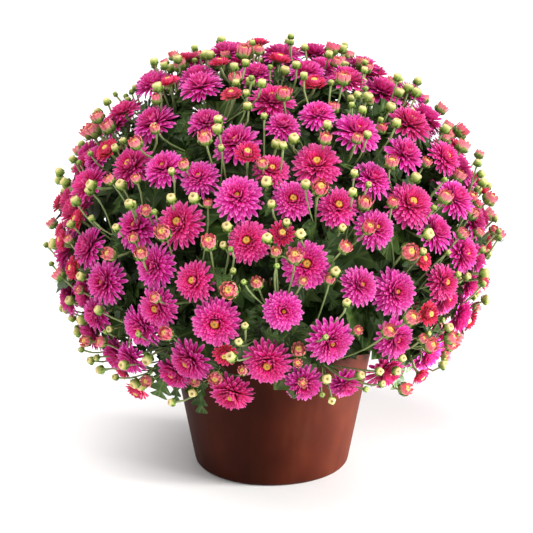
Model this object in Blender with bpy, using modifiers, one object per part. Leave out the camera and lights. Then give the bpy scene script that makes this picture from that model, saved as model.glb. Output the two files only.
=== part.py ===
"""A potted garden chrysanthemum in flower: a dome of blooms over a tapered nursery pot.

Metres, +Z up, with the origin at the middle of the pot's flat base. Each flowering stem stands in
its own hole in the soil, forks below the dome, and carries open blooms, half-open cups, buds and
leaves, all grown together as one body.
"""

import math
from dataclasses import dataclass, field

import bpy
import numpy as np
from mathutils import Vector

# The pot: a nine-inch nursery pan
POT_HEIGHT = 0.165
POT_TOP_RADIUS = 0.118
POT_BASE_RADIUS = 0.087
POT_CORNER = 0.006
POT_WALL = 0.0028
POT_FLOOR = 0.003
RIM_HEIGHT = 0.010
RIM_PROUD = 0.003
POT_SIDES = 32
DRAIN_COUNT = 6
DRAIN_RADIUS = 0.005
DRAIN_CIRCLE = 0.058
DRAIN_SIDES = 6
DRILL_ABOVE = 0.010
DRAIN_DRILL = 0.020
RIM_TAPER = 0.002
SHARP_ANGLE = math.radians(30)

# The soil, and the gap that every pair of touching pieces keeps
SOIL_EDGE = 0.148
SOIL_CROWN = 0.152
FIT_GAP = 0.0003

# The dome of flowers, which is a shell that the heads lie on
DOME_MIDDLE = 0.258
DOME_RADIUS = 0.238
DOME_RISE = 0.212
DOME_TOP = DOME_MIDDLE + DOME_RISE
DOME_FOOT = 0.112
SEED = 11

# The stems: straight from the crown, but arched over the rim where they end below its middle
STEM_COUNT = 42
STEM_FOOT = 0.150
HOLE_CIRCLE = 0.074
HOLE_DEPTH = 0.022
HOLE_RADIUS = 0.0031
STEM_SIDES = 4
STEM_RADII = (0.0026, 0.0026, 0.0024, 0.0021)
COLLAR = 0.006
BEND_LIFT = 0.014
PEDICEL_RADIUS = 0.0012
PEDICEL_ROOT = 0.0007
PEDICEL_STARTS = (0.052, 0.070)
PEDICEL_SPREAD = (0.034, 0.5)
CROWN_HEIGHT = 0.165
ARCH = 1.1
FORK_DEPTH = 0.104
GOLDEN_ANGLE = math.pi * (3 - math.sqrt(5))

# The heads of each kind: how many, from what radius to what radius, how far out of the shell they
# may stand, and the lowest that they hang
HEAD_KINDS = {
    "bloom": (176, 0.0162, 0.0232, (-0.016, 0.000), 0.122),
    "young_bloom": (46, 0.0112, 0.0145, (-0.008, 0.004), 0.118),
    "cup": (20, 0.0075, 0.0098, (-0.002, 0.010), DOME_FOOT),
    "bud": (18, 0.0045, 0.0058, (0.000, 0.014), DOME_FOOT),
}
CALYX_DEPTHS = {"bloom": 0.45, "young_bloom": 0.55, "cup": 1.0, "bud": 1.0}
CLEARANCE = 0.0014
# One head may lie over the edge of another where it stands this much higher, as a share of their
# mean radius, and then their middles are no nearer than OVERLAP of both radii together
OVERLAP = 0.82
STEP_ABOVE = 0.72
LIFT = 0.18
SWAY = 0.16
TRIES = 400
SIX_PETALS = 0.0205
# Places on the near side where leaves and small buds show and no open bloom is, and their radius
LEAFY_PLACES = (
    ((-0.030, -0.225, 0.268), 0.038),
    ((-0.085, -0.200, 0.232), 0.030),
    ((0.150, -0.120, 0.370), 0.024),
    ((0.035, -0.165, 0.140), 0.034),
    ((-0.070, -0.165, 0.142), 0.036),
)

# The dense inner leaves, as one rosette in each stem that the rest stands out of: its leaf tips
# and the notches between them, as shares of the way to the next stem and depths below the shell
CORE_LEAVES = 6
CORE_REACH = (0.93, 0.70)
CORE_DEPTHS = (0.038, 0.058)
CORE_MIDDLE = 0.046
CORE_FOOT = 0.138

# The leaves: stations along a leaf from its stalk to its tip, as shares of its length, and the
# half-width there
LEAF_OUTLINE = ((0.34, 0.25), (0.45, 0.16), (0.62, 0.29), (0.76, 0.17), (0.88, 0.17), (1.00, 0.00))
LEAF_SWEEP = 0.07
LEAF_LOBE = 0.165
LEAF_KEEL = 0.0011
LEAF_DROOP = 0.22
LEAF_ROOT = 0.003
LEAVES_A_STEM = 1
SKIRT_LEAVES = 2
SKIRT_HEIGHT = 0.190
SKIRT_DROOP = 1.2
LEAF_LENGTHS = (0.036, 0.046)
LEAF_SHARES = (0.25, 0.85)
LEAF_TILTS = (0.45, 0.95)
LEAF_TRIES = 80
LEAF_CLEARANCE = 0.0032
SAME_STEM_CLEARANCE = 0.0006
RIM_CLEARANCE = 0.006
# Balls that stand for the inner leaves and for a leaf's outline where later leaves keep clear
CORE_BALL = 0.006
LEAF_BALL = 0.002
SAMPLE_STEP = 0.003

STEM_GREEN, PETAL, YOUNG_PETAL, BUD_CREAM = range(4)
FINISHES = (
    ("stem_and_leaf", (0.045, 0.100, 0.022, 1), 0.60),
    ("open_petals", (0.560, 0.020, 0.190, 1), 0.50),
    ("young_petals", (0.700, 0.090, 0.110, 1), 0.50),
    ("bud_cream", (0.680, 0.640, 0.240, 1), 0.55),
)


@dataclass
class Head:
    """A bloom, a cup or a bud: its stem, its size, where it is, and which way it faces."""

    kind: str
    stem: int
    radius: float
    spot: np.ndarray
    place: np.ndarray
    axis: np.ndarray
    stand: float


@dataclass
class Stem:
    """A flowering stem: its hole in the soil, its trunk as sections up to the top of its inner
    leaves, its heads with their pedicels, and its outer leaves."""

    hole: np.ndarray
    site: np.ndarray
    heads: list = field(default_factory=list)
    trunk: list = field(default_factory=list)
    side: np.ndarray = None
    pedicels: list = field(default_factory=list)
    leaves: list = field(default_factory=list)


def unit(vectors):
    return vectors / np.linalg.norm(vectors, axis=-1, keepdims=True)


def on_dome(height, azimuth):
    """Points of the dome's shell at these heights and azimuths."""
    lift = (height - DOME_MIDDLE) / DOME_RISE
    out = DOME_RADIUS * np.sqrt(np.clip(1 - lift**2, 0, 1))
    return np.stack([out * np.cos(azimuth), out * np.sin(azimuth), height], axis=-1)


def off_dome(points):
    """The shell's outward directions at these points."""
    middle = np.array((0, 0, DOME_MIDDLE))
    return unit((points - middle) / np.array((DOME_RADIUS, DOME_RADIUS, DOME_RISE)) ** 2)


def way_out(points):
    """The direction of a stem as it ends here: away from the crown, or from higher up the axis
    for a low place, because the stem has first arched over the rim."""
    start = np.zeros_like(points)
    start[..., 2] = CROWN_HEIGHT + ARCH * np.maximum(0, DOME_MIDDLE - points[..., 2])
    return unit(points - start)


def soil_height(radius):
    """The top of the soil, which is a little higher in the middle."""
    return SOIL_EDGE + (SOIL_CROWN - SOIL_EDGE) * (1 - radius / POT_TOP_RADIUS)


def stem_sites():
    """Stems spread by the golden angle, in the soil and on the dome alike, so that none cross."""
    share = (np.arange(STEM_COUNT) + 0.5) / STEM_COUNT
    azimuth = np.arange(STEM_COUNT) * GOLDEN_ANGLE
    radius = HOLE_CIRCLE * np.sqrt(share)
    holes = np.stack(
        [radius * np.cos(azimuth), radius * np.sin(azimuth), soil_height(radius)], axis=-1
    )
    sites = on_dome(DOME_TOP - share * (DOME_TOP - STEM_FOOT), azimuth)
    return [Stem(hole, site) for hole, site in zip(holes, sites)]


def place_head(rng, kind, radius, stems, heads):
    """A head at the first of many random places that keeps clear of every head there is, beside
    it or, where it stands well above or below it, over its edge."""
    _, _, _, stand, foot = HEAD_KINDS[kind]
    sites = np.array([stem.site for stem in stems])
    spots = on_dome(rng.uniform(foot, DOME_TOP, TRIES), rng.uniform(0, 2 * math.pi, TRIES))
    stands = rng.uniform(*stand, TRIES)
    clear = np.ones(TRIES, bool)
    if heads:
        there = np.array([head.spot for head in heads])
        reach = radius + np.array([head.radius for head in heads])
        apart = np.linalg.norm(spots[:, None] - there, axis=-1)
        step = np.abs(stands[:, None] - np.array([head.stand for head in heads]))
        over = (apart > OVERLAP * reach) & (step > STEP_ABOVE * reach / 2)
        clear &= ((apart > reach + CLEARANCE) | over).all(axis=1)
    if "bloom" in kind:
        for place, bare in LEAFY_PLACES:
            clear &= np.linalg.norm(spots - np.array(place), axis=1) > bare
    pick = int(clear.argmax())
    spot, axis = spots[pick], off_dome(spots[pick])
    axis = unit(axis + way_out(spot) + LIFT * np.array((0, 0, 1)) + SWAY * rng.normal(size=3))
    if not clear[pick]:
        return None
    owner = int(np.linalg.norm(sites - spot, axis=1).argmin())
    place = spot + off_dome(spot) * stands[pick]
    return Head(kind, owner, radius, spot, place, axis, float(stands[pick]))


def scatter_heads(rng, stems):
    """Every head of the plant, the largest first, each given to the stem whose site is nearest."""
    heads = []
    for kind, (count, least, most, _, _) in HEAD_KINDS.items():
        radii = np.sort(least + (most - least) * np.sqrt(rng.random(count)))[::-1]
        for radius in radii:
            head = place_head(rng, kind, float(radius), stems, heads)
            if head:
                heads.append(head)
    for head in heads:
        stems[head.stem].heads.append(head)
    return heads


def foot_of(head):
    """Where a head meets its stalk."""
    return head.place - head.axis * head.radius * CALYX_DEPTHS[head.kind]


def ring(centre, axis, side, count, radii, heights):
    """Points round an axis, with radii and heights that may take turns."""
    angles = np.arange(count) * 2 * math.pi / count
    radii, heights = np.resize(radii, count)[:, None], np.resize(heights, count)[:, None]
    spokes = np.cos(angles)[:, None] * side + np.sin(angles)[:, None] * np.cross(axis, side)
    return centre + radii * spokes + heights * axis


def square_to(axis, side):
    """This side direction, turned square to the axis."""
    return unit(side - (side @ axis) * axis)


def stalk_sections(route, sides, radii, side):
    """Sections along a route, each square to the route there, and the side direction at its end."""
    steps = unit(np.diff(np.array(route), axis=0))
    axes = [steps[0], *unit(steps[:-1] + steps[1:]), steps[-1]]
    sections = []
    for place, axis, count, radius in zip(route, axes, sides, radii):
        side = square_to(axis, side)
        sections.append(ring(place, axis, side, count, radius, 0.0))
    return sections, side


def inner_leaves(stem, stems, side):
    """The ring of leaf tips and notches round a stem, which keeps inside the stem's own share of
    the dome, and the middle of the rosette."""
    others = np.array([other.site for other in stems if other is not stem]) - stem.site
    normal = off_dome(stem.site)
    spokes = ring(np.zeros(3), normal, square_to(normal, side), 2 * CORE_LEAVES, 1.0, 0.0)
    along = np.maximum(spokes @ others.T, 1e-6)
    reach = ((others**2).sum(axis=1) / (2 * along)).min(axis=1)
    reach = np.minimum(reach, 2 * np.median(reach))
    room = (stem.site[2] - CORE_FOOT) / np.maximum(-spokes[:, 2], 1e-6)
    reach = np.minimum(reach, room) * np.resize(CORE_REACH, len(spokes))
    tips = stem.site + spokes * reach[:, None]
    middle = np.array((0, 0, DOME_MIDDLE))
    radii = np.array((DOME_RADIUS, DOME_RADIUS, DOME_RISE))
    tips = middle + (tips - middle) / np.linalg.norm((tips - middle) / radii, axis=1)[:, None]
    tips -= way_out(tips) * np.resize(CORE_DEPTHS, len(tips))[:, None]
    return tips, stem.site - way_out(stem.site) * CORE_MIDDLE


def lay_routes(stem, stems):
    """The trunk runs from its hole to a fork below the dome and widens there into the inner
    leaves. The head nearest the stem's site goes on from their middle, and every other head has a
    pedicel that starts among them."""
    way = way_out(stem.site)
    fork = stem.site - way * FORK_DEPTH
    collar = stem.hole + np.array((0, 0, COLLAR))
    bottom = stem.hole - np.array((0, 0, HOLE_DEPTH))
    bend = (collar + fork) / 2 + np.array((0, 0, BEND_LIFT))
    sides = (STEM_SIDES, STEM_SIDES, 4, 3)
    route = [bottom, collar, bend, fork]
    stem.trunk, side = stalk_sections(route, sides, STEM_RADII, np.array((1.0, 0.0, 0.0)))
    tips, top = inner_leaves(stem, stems, side)
    stem.side = square_to(way, side)
    stem.trunk += [tips, ring(top, way, stem.side, 3, PEDICEL_RADIUS, 0.0)]
    stem.heads.sort(key=lambda head: np.linalg.norm(foot_of(head) - top))
    for head in stem.heads:
        foot = foot_of(head)
        aside = np.linalg.norm(np.cross(foot - stem.site, way))
        depth = np.clip(PEDICEL_SPREAD[0] + PEDICEL_SPREAD[1] * aside, *PEDICEL_STARTS)
        start = stem.site - way * (depth if head is not stem.heads[0] else CORE_MIDDLE)
        stem.pedicels.append([start, foot])


def sampled(start, end):
    """Points at even steps along a line."""
    count = max(2, int(np.linalg.norm(end - start) / SAMPLE_STEP))
    return start + (end - start) * np.linspace(0, 1, count)[:, None]


def crowd(stems):
    """Sample balls of everything that leaves keep clear of: their middles, radii and stems, and
    whether each stands for inner leaves, which a stem's own leaves grow out of."""
    points, radii, owners, inner = [], [], [], []
    for index, stem in enumerate(stems):
        knots = [section.mean(axis=0) for section in stem.trunk[:4]]
        balls = [sampled(start, end) for start, end in zip(knots, knots[1:])]
        balls += [sampled(start, end) for start, end in stem.pedicels]
        sizes = [np.full(len(line), STEM_RADII[0]) for line in balls]
        balls.append(np.array([head.place for head in stem.heads]))
        sizes.append(np.array([head.radius for head in stem.heads]))
        tips, top = stem.trunk[-2], stem.trunk[-1].mean(axis=0)
        leafy = np.concatenate([top + share * (tips - top) for share in (0.25, 0.5, 0.75, 1.0)])
        inner += [False] * sum(map(len, balls)) + [True] * len(leafy)
        points += [*balls, leafy]
        radii += [*sizes, np.full(len(leafy), CORE_BALL)]
        owners += [index] * (len(inner) - len(owners))
    return np.concatenate(points), np.concatenate(radii), np.array(owners), np.array(inner)


def leaf_sections(base, along, face, length):
    """A lobed leaf as three-cornered sections: both edges, and the keel of its midrib."""
    side = np.cross(face, along)
    sections = [base[None]]
    for share, half_width in LEAF_OUTLINE:
        sweep = LEAF_SWEEP if half_width > LEAF_LOBE else 0.0
        middle = base + length * (share * along - LEAF_DROOP * share**2 * face)
        edge = middle + length * sweep * along
        reach = side * half_width * length
        section = np.array([edge - reach, middle - face * LEAF_KEEL, edge + reach])
        sections.append(section if half_width else middle[None])
    return sections


def try_leaf(rng, stem, skirt):
    """A leaf that grows out of the stem's inner leaves, in a random direction."""
    tips, top = stem.trunk[-2], stem.trunk[-1].mean(axis=0)
    edge = tips[rng.integers(len(tips))]
    out = way_out(stem.site)
    base = top + rng.uniform(*LEAF_SHARES) * (edge - top) - LEAF_ROOT * out
    aside = rng.normal(size=3) - np.array((0, 0, SKIRT_DROOP if skirt else 0.0))
    tilt = rng.uniform(*LEAF_TILTS)
    along = math.cos(tilt) * out + math.sin(tilt) * square_to(out, aside)
    return leaf_sections(base, along, square_to(along, out), rng.uniform(*LEAF_LENGTHS))


def over_rim(points):
    """Whether all of these points keep clear of the pot: outside its rim, or above it."""
    outside = np.linalg.norm(points[:, :2], axis=1) > POT_TOP_RADIUS + RIM_PROUD + RIM_CLEARANCE
    return (outside | (points[:, 2] > POT_HEIGHT + RIM_CLEARANCE)).all()


def grow_leaves(rng, stems):
    """Leaves on every stem where there is room, with more round the foot of the dome."""
    points, radii, owners, inner = crowd(stems)
    for index, stem in enumerate(stems):
        skirt = stem.site[2] < SKIRT_HEIGHT
        wanted = SKIRT_LEAVES if skirt else LEAVES_A_STEM
        for _ in range(LEAF_TRIES):
            if len(stem.leaves) == wanted:
                break
            leaf = try_leaf(rng, stem, skirt)
            outline = np.concatenate(leaf[1:])
            gaps = np.linalg.norm(outline[:, None] - points, axis=-1) - radii
            room = np.where(owners == index, SAME_STEM_CLEARANCE, LEAF_CLEARANCE)
            room = np.where((owners == index) & inner, -CORE_BALL, room)
            if over_rim(outline) and (gaps >= room).all():
                stem.leaves.append(leaf)
                points = np.concatenate([points, outline])
                radii = np.append(radii, np.full(len(outline), LEAF_BALL))
                owners = np.append(owners, np.full(len(outline), index))
                inner = np.append(inner, np.full(len(outline), False))


def head_sections(head, side):
    """A head's sections above its stalk, with the finish of the band below each."""
    place, axis, radius = head.place, head.axis, head.radius
    side = square_to(axis, side)
    petals = 6 if radius > SIX_PETALS else 5
    if "bloom" in head.kind:
        outer = ring(place, axis, side, 2 * petals, (radius, 0.78 * radius),
                     (-0.04 * radius, -0.17 * radius))
        if head.kind == "young_bloom":
            return [(outer, PETAL), ((place + 0.12 * radius * axis)[None], YOUNG_PETAL)]
        inner = ring(place, axis, side, 2 * petals, (0.40 * radius, 0.68 * radius),
                     (0.12 * radius, 0.21 * radius))
        return [(outer, PETAL), (inner, PETAL), ((place + 0.34 * radius * axis)[None], PETAL)]
    if head.kind == "cup":
        belly = ring(place, axis, side, 3, 0.85 * radius, -0.45 * radius)
        mouth = ring(place, axis, side, 6, (radius, 0.82 * radius), (0.62 * radius, 0.40 * radius))
        return [(belly, STEM_GREEN), (mouth, YOUNG_PETAL),
                ((place + 0.22 * radius * axis)[None], YOUNG_PETAL)]
    belly = ring(place, axis, side, 5, radius, -0.10 * radius)
    return [(belly, STEM_GREEN), ((place + 0.90 * radius * axis)[None], BUD_CREAM)]


def band(first, count, first_next, count_next):
    """Triangles between two rings, or a ring and a point, taken in step round both. Equal rings
    split their quads in turns, so that each petal's two halves match."""
    if count_next == 1:
        return [(first + i, first + (i + 1) % count, first_next) for i in range(count)]
    if count == 1:
        turns = range(count_next)
        return [(first, first_next + (j + 1) % count_next, first_next + j) for j in turns]
    faces, i, j = [], 0, 0
    while i < count or j < count_next:
        here, there = first + i % count, first_next + j % count_next
        lead = (j + 1) * count - (i + 1) * count_next
        if j == count_next or (i < count and (lead > 0 or (lead == 0 and i % 2 == 0))):
            i += 1
            faces.append((here, first + i % count, there))
        else:
            j += 1
            faces.append((here, first_next + j % count_next, there))
    return faces


def loft(name, sections, finishes, materials):
    """A closed mesh object through these sections. Each band has its own finish."""
    starts = np.cumsum([0] + [len(section) for section in sections])
    faces, slots = [], []
    if len(sections[0]) > 1:
        faces.append(tuple(range(len(sections[0])))[::-1])
        slots.append(finishes[0])
    for k, finish in enumerate(finishes):
        made = band(starts[k], len(sections[k]), starts[k + 1], len(sections[k + 1]))
        faces += made
        slots += [finish] * len(made)
    mesh = bpy.data.meshes.new(name)
    mesh.from_pydata(np.concatenate(sections).tolist(), [], [[int(v) for v in f] for f in faces])
    for material in materials:
        mesh.materials.append(material)
    mesh.polygons.foreach_set("material_index", slots)
    mesh.update()
    return bpy.data.objects.new(name, mesh)


def loft_with_head(name, sections, side, head, materials):
    """A loft through these sections that ends in a head."""
    finishes = [STEM_GREEN] * (len(sections) - 1)
    for section, finish in head_sections(head, side):
        sections.append(section)
        finishes.append(finish)
    return loft(name, sections, finishes, materials)


def grown_together(name, base, pieces, collection):
    """One body from a base and the pieces that grow on it."""
    gathered = bpy.data.collections.new(name + "_pieces")
    bpy.context.scene.collection.children.link(gathered)
    bpy.context.scene.collection.objects.link(base)
    for piece in pieces:
        gathered.objects.link(piece)
    if pieces:
        join = base.modifiers.new("grown_together", "BOOLEAN")
        join.operation, join.operand_type = "UNION", "COLLECTION"
        join.solver, join.collection = "MANIFOLD", gathered
    graph = bpy.context.evaluated_depsgraph_get()
    mesh = bpy.data.meshes.new_from_object(base.evaluated_get(graph))
    for piece in [base, *pieces]:
        bpy.data.objects.remove(piece)
    bpy.data.collections.remove(gathered)
    body = bpy.data.objects.new(name, mesh)
    collection.objects.link(body)
    return body


def make_stem(number, stem, materials, collection):
    """A flowering stem from its hole to its heads, with its leaves."""
    name = f"flowering_stem_{number:02d}"
    first = stem.heads[0]
    foot = foot_of(first)
    side = square_to(unit(foot - stem.pedicels[0][0]), stem.side)
    neck = ring(foot, unit(foot - stem.pedicels[0][0]), side, 3, PEDICEL_RADIUS, 0.0)
    base = loft_with_head(name + "_base", [*stem.trunk, neck], side, first, materials)
    pieces = []
    for head, route in zip(stem.heads[1:], stem.pedicels[1:]):
        radii = (PEDICEL_ROOT, PEDICEL_RADIUS)
        sections, side = stalk_sections(route, (3, 3), radii, stem.side)
        pieces.append(loft_with_head("pedicel", sections, side, head, materials))
    for leaf in stem.leaves:
        pieces.append(loft("leaf", leaf, [STEM_GREEN] * (len(leaf) - 1), materials))
    return grown_together(name, base, pieces, collection)


def principled(name, colour, roughness):
    material = bpy.data.materials.new(name)
    material.use_nodes = True
    shader = material.node_tree.nodes["Principled BSDF"]
    shader.inputs["Base Color"].default_value = colour
    shader.inputs["Roughness"].default_value = roughness
    shader.inputs["Metallic"].default_value = 0.0
    material.diffuse_color = colour
    return material


def turned(name, profile, sides, material, collection):
    """A solid of revolution from its outer side's top, down and round, back to the axis."""
    mesh = bpy.data.meshes.new(name)
    edges = [(i, i + 1) for i in range(len(profile) - 1)]
    mesh.from_pydata([(radius, 0, height) for radius, height in profile], edges, [])
    mesh.materials.append(material)
    body = bpy.data.objects.new(name, mesh)
    collection.objects.link(body)
    spin = body.modifiers.new("turned", "SCREW")
    spin.steps = spin.render_steps = sides
    spin.use_merge_vertices, spin.merge_threshold = True, 0.0001
    return body


def pot_radius(height):
    """The outside of the pot's straight wall at this height."""
    return POT_BASE_RADIUS + (POT_TOP_RADIUS - POT_BASE_RADIUS) * height / POT_HEIGHT


def pot_profile():
    """The pot's section: the floor's inside, the inner wall, the rim, the outer wall, the corner."""
    corner = [
        (POT_BASE_RADIUS - POT_CORNER * (1 - math.cos(turn)), POT_CORNER * (1 - math.sin(turn)))
        for turn in np.radians((30, 90))
    ]
    rim_foot = POT_HEIGHT - RIM_HEIGHT
    return [
        (0, POT_FLOOR),
        (pot_radius(POT_FLOOR) - POT_WALL, POT_FLOOR),
        (POT_TOP_RADIUS - POT_WALL, POT_HEIGHT),
        (POT_TOP_RADIUS + RIM_PROUD, POT_HEIGHT),
        (pot_radius(rim_foot) + RIM_PROUD, rim_foot),
        (pot_radius(rim_foot - RIM_TAPER), rim_foot - RIM_TAPER),
        (pot_radius(POT_CORNER), POT_CORNER),
        *corner,
        (0, 0),
    ]


def soil_profile():
    """The root ball's section, a fit gap clear of the pot all round."""
    foot = POT_FLOOR + FIT_GAP
    inset = POT_WALL + FIT_GAP
    return [
        (0, SOIL_CROWN),
        (pot_radius(SOIL_EDGE) - inset, SOIL_EDGE),
        (pot_radius(foot) - inset, foot),
        (0, foot),
    ]


def cutters(name, places, radius, depth, sides):
    """Upright prisms that cut plain holes, each from a place down."""
    group = bpy.data.collections.new(name)
    bpy.context.scene.collection.children.link(group)
    for place in places:
        bpy.ops.mesh.primitive_cylinder_add(vertices=sides, radius=radius, depth=depth)
        cutter = bpy.context.object
        cutter.location = Vector(place) - Vector((0, 0, depth / 2))
        cutter.hide_render, cutter.display_type = True, "WIRE"
        for owner in cutter.users_collection:
            owner.objects.unlink(cutter)
        group.objects.link(cutter)
    return group


def cut(body, group):
    """The body with the group's holes cut, and shaded smooth between its sharp edges."""
    drill = body.modifiers.new("holes", "BOOLEAN")
    drill.operation, drill.operand_type, drill.collection = "DIFFERENCE", "COLLECTION", group
    graph = bpy.context.evaluated_depsgraph_get()
    mesh = bpy.data.meshes.new_from_object(body.evaluated_get(graph))
    body.modifiers.clear()
    body.data = mesh
    mesh.shade_smooth()
    mesh.set_sharp_from_angle(angle=SHARP_ANGLE)


def make_pot(collection):
    plastic = principled("terracotta_brown_plastic", (0.130, 0.038, 0.020, 1), 0.45)
    pot = turned("pot", pot_profile(), POT_SIDES, plastic, collection)
    turns = np.arange(DRAIN_COUNT) * 2 * math.pi / DRAIN_COUNT
    places = [(DRAIN_CIRCLE * math.cos(t), DRAIN_CIRCLE * math.sin(t), DRILL_ABOVE) for t in turns]
    cut(pot, cutters("drain_cutters", places, DRAIN_RADIUS, DRAIN_DRILL, DRAIN_SIDES))


def make_soil(stems, collection):
    """The root ball, with a plain hole for each stem."""
    peat = principled("potting_mix", (0.030, 0.020, 0.014, 1), 0.95)
    soil = turned("soil", soil_profile(), POT_SIDES, peat, collection)
    places = [stem.hole + np.array((0, 0, DRILL_ABOVE)) for stem in stems]
    depth = DRILL_ABOVE + HOLE_DEPTH + FIT_GAP
    cut(soil, cutters("stem_hole_cutters", places, HOLE_RADIUS, depth, STEM_SIDES))


def main():
    for leftover in list(bpy.data.objects):
        bpy.data.objects.remove(leftover)
    collection = bpy.data.collections.new("potted_chrysanthemum")
    bpy.context.scene.collection.children.link(collection)
    rng = np.random.default_rng(SEED)
    stems = stem_sites()
    heads = scatter_heads(rng, stems)
    for stem in stems:
        lay_routes(stem, stems)
    grow_leaves(rng, stems)
    make_pot(collection)
    make_soil(stems, collection)
    materials = [principled(*finish) for finish in FINISHES]
    for number, stem in enumerate(stems, start=1):
        make_stem(number, stem, materials, collection)
    print(len(heads), "heads,", sum(len(stem.leaves) for stem in stems), "leaves")


main()
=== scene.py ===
# %% [markdown]
# # A potted chrysanthemum in full flower
#
# A garden chrysanthemum is sold as a round dome of flowers over a plain brown pot. The imported model holds
# it as solids: a pot, a root ball, and one solid for each flowering stem with its blooms, buds and leaves.
# This lesson grows the fine surface over each of those stems, petal by petal. Every stalk, flower and leaf
# stands where the solid has it, so the frame is loaded first, and each stem's box is read to compare with
# the places of the rule.

# %% Load the imported plant
import math
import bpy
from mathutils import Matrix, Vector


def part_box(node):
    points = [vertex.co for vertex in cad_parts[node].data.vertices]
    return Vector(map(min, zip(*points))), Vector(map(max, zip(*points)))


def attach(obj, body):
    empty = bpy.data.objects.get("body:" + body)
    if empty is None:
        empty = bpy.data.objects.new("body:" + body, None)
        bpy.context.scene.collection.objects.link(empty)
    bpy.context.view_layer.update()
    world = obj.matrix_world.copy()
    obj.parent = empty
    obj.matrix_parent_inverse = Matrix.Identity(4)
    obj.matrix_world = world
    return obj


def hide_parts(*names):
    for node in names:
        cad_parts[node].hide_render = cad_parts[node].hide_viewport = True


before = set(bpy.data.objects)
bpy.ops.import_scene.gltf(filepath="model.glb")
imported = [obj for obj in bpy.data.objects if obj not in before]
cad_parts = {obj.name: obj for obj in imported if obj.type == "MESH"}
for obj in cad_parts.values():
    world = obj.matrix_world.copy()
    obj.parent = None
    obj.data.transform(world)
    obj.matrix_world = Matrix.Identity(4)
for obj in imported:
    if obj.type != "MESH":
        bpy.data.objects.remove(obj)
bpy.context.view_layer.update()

from types import SimpleNamespace

import bpy
import numpy as np
from mathutils import Vector

# %% [markdown]
# ## The sizes that shape the plant
#
# The solids were laid out by a rule: stems spread by the golden angle, and heads scattered over a
# dome by a seeded random draw. The same rule with the same sizes gives the same places here, which
# is better than measuring them off the solids, because it also gives each flower's direction.
# All sizes are in metres.

# %% Sizes of the pot, the soil and the dome
POT_HEIGHT, POT_TOP_RADIUS, POT_BASE_RADIUS = 0.165, 0.118, 0.087
POT_CORNER, POT_WALL, POT_FLOOR = 0.006, 0.0028, 0.003
RIM_HEIGHT, RIM_PROUD, RIM_TAPER = 0.010, 0.003, 0.002
DRAIN_COUNT, DRAIN_RADIUS, DRAIN_CIRCLE = 6, 0.005, 0.058
SOIL_EDGE, SOIL_CROWN, FIT_GAP = 0.148, 0.152, 0.0003
DOME_MIDDLE, DOME_RADIUS, DOME_RISE, DOME_FOOT = 0.258, 0.238, 0.212, 0.112
DOME_TOP = DOME_MIDDLE + DOME_RISE
SEED = 11
print(f"a dome {2 * DOME_RADIUS:.3f} m wide over a pot {2 * POT_TOP_RADIUS:.3f} m wide")

# %% Sizes of the stems
STEM_COUNT, STEM_FOOT, HOLE_CIRCLE, HOLE_DEPTH = 42, 0.150, 0.074, 0.022
STEM_RADII = (0.0026, 0.0026, 0.0024, 0.0021)
COLLAR, BEND_LIFT, FORK_DEPTH = 0.006, 0.014, 0.104
STALK_STARTS, STALK_START_SLOPE = (0.052, 0.070), (0.034, 0.5)
CROWN_HEIGHT, ARCH = 0.165, 1.1
GOLDEN_ANGLE = math.pi * (3 - math.sqrt(5))
CORE_LEAVES, CORE_REACH, CORE_DEPTHS = 6, (0.93, 0.70), (0.038, 0.058)
CORE_MIDDLE, CORE_FOOT = 0.046, 0.138
print(f"stems turn by {math.degrees(GOLDEN_ANGLE):.1f} degrees from one to the next")

# %% Sizes of the heads: count, radii, how far out of the dome they stand, and the lowest place
HEAD_KINDS = {
    "bloom": (176, 0.0162, 0.0232, (-0.016, 0.000), 0.122),
    "young_bloom": (46, 0.0112, 0.0145, (-0.008, 0.004), 0.118),
    "cup": (20, 0.0075, 0.0098, (-0.002, 0.010), DOME_FOOT),
    "bud": (18, 0.0045, 0.0058, (0.000, 0.014), DOME_FOOT),
}
CALYX_DEPTHS = {"bloom": 0.45, "young_bloom": 0.55, "cup": 1.0, "bud": 1.0}
CLEARANCE, OVERLAP, STEP_ABOVE = 0.0014, 0.82, 0.72
LIFT, SWAY, TRIES = 0.18, 0.16, 400
LEAFY_PLACES = (
    ((-0.030, -0.225, 0.268), 0.038),
    ((-0.085, -0.200, 0.232), 0.030),
    ((0.150, -0.120, 0.370), 0.024),
    ((0.035, -0.165, 0.140), 0.034),
    ((-0.070, -0.165, 0.142), 0.036),
)
print("heads wanted:", {kind: values[0] for kind, values in HEAD_KINDS.items()})

# %% Sizes of the leaves, and how near to other things each may grow
LEAF_OUTLINE = ((0.34, 0.25), (0.45, 0.16), (0.62, 0.29), (0.76, 0.17), (0.88, 0.17), (1.00, 0.00))
LEAF_SWEEP, LEAF_LOBE, LEAF_KEEL, LEAF_DROOP, LEAF_ROOT = 0.07, 0.165, 0.0011, 0.22, 0.003
LEAVES_A_STEM, SKIRT_LEAVES, SKIRT_HEIGHT, SKIRT_DROOP = 1, 2, 0.190, 1.2
LEAF_LENGTHS, LEAF_SHARES, LEAF_TILTS, LEAF_TRIES = (0.036, 0.046), (0.25, 0.85), (0.45, 0.95), 80
LEAF_CLEARANCE, SAME_STEM_CLEARANCE, RIM_CLEARANCE = 0.0032, 0.0006, 0.006
CORE_BALL, LEAF_BALL, SAMPLE_STEP, CORE_BALL_SHARES = 0.006, 0.002, 0.003, (0.25, 0.5, 0.75, 1.0)

# %% [markdown]
# ## Where the stems stand
#
# The dome is half of a flattened ball. Each stem starts in the soil, and its end has a site on the
# dome. The golden angle spreads both evenly, as a sunflower spreads its seeds, so no two stems
# cross. Low stems first arch over the rim of the pot, so they end facing away from a higher point.

# %% Directions
UP = np.array((0.0, 0.0, 1.0))


def unit(vectors):
    """Each vector divided by its length."""
    return vectors / np.linalg.norm(vectors, axis=-1, keepdims=True)


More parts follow.
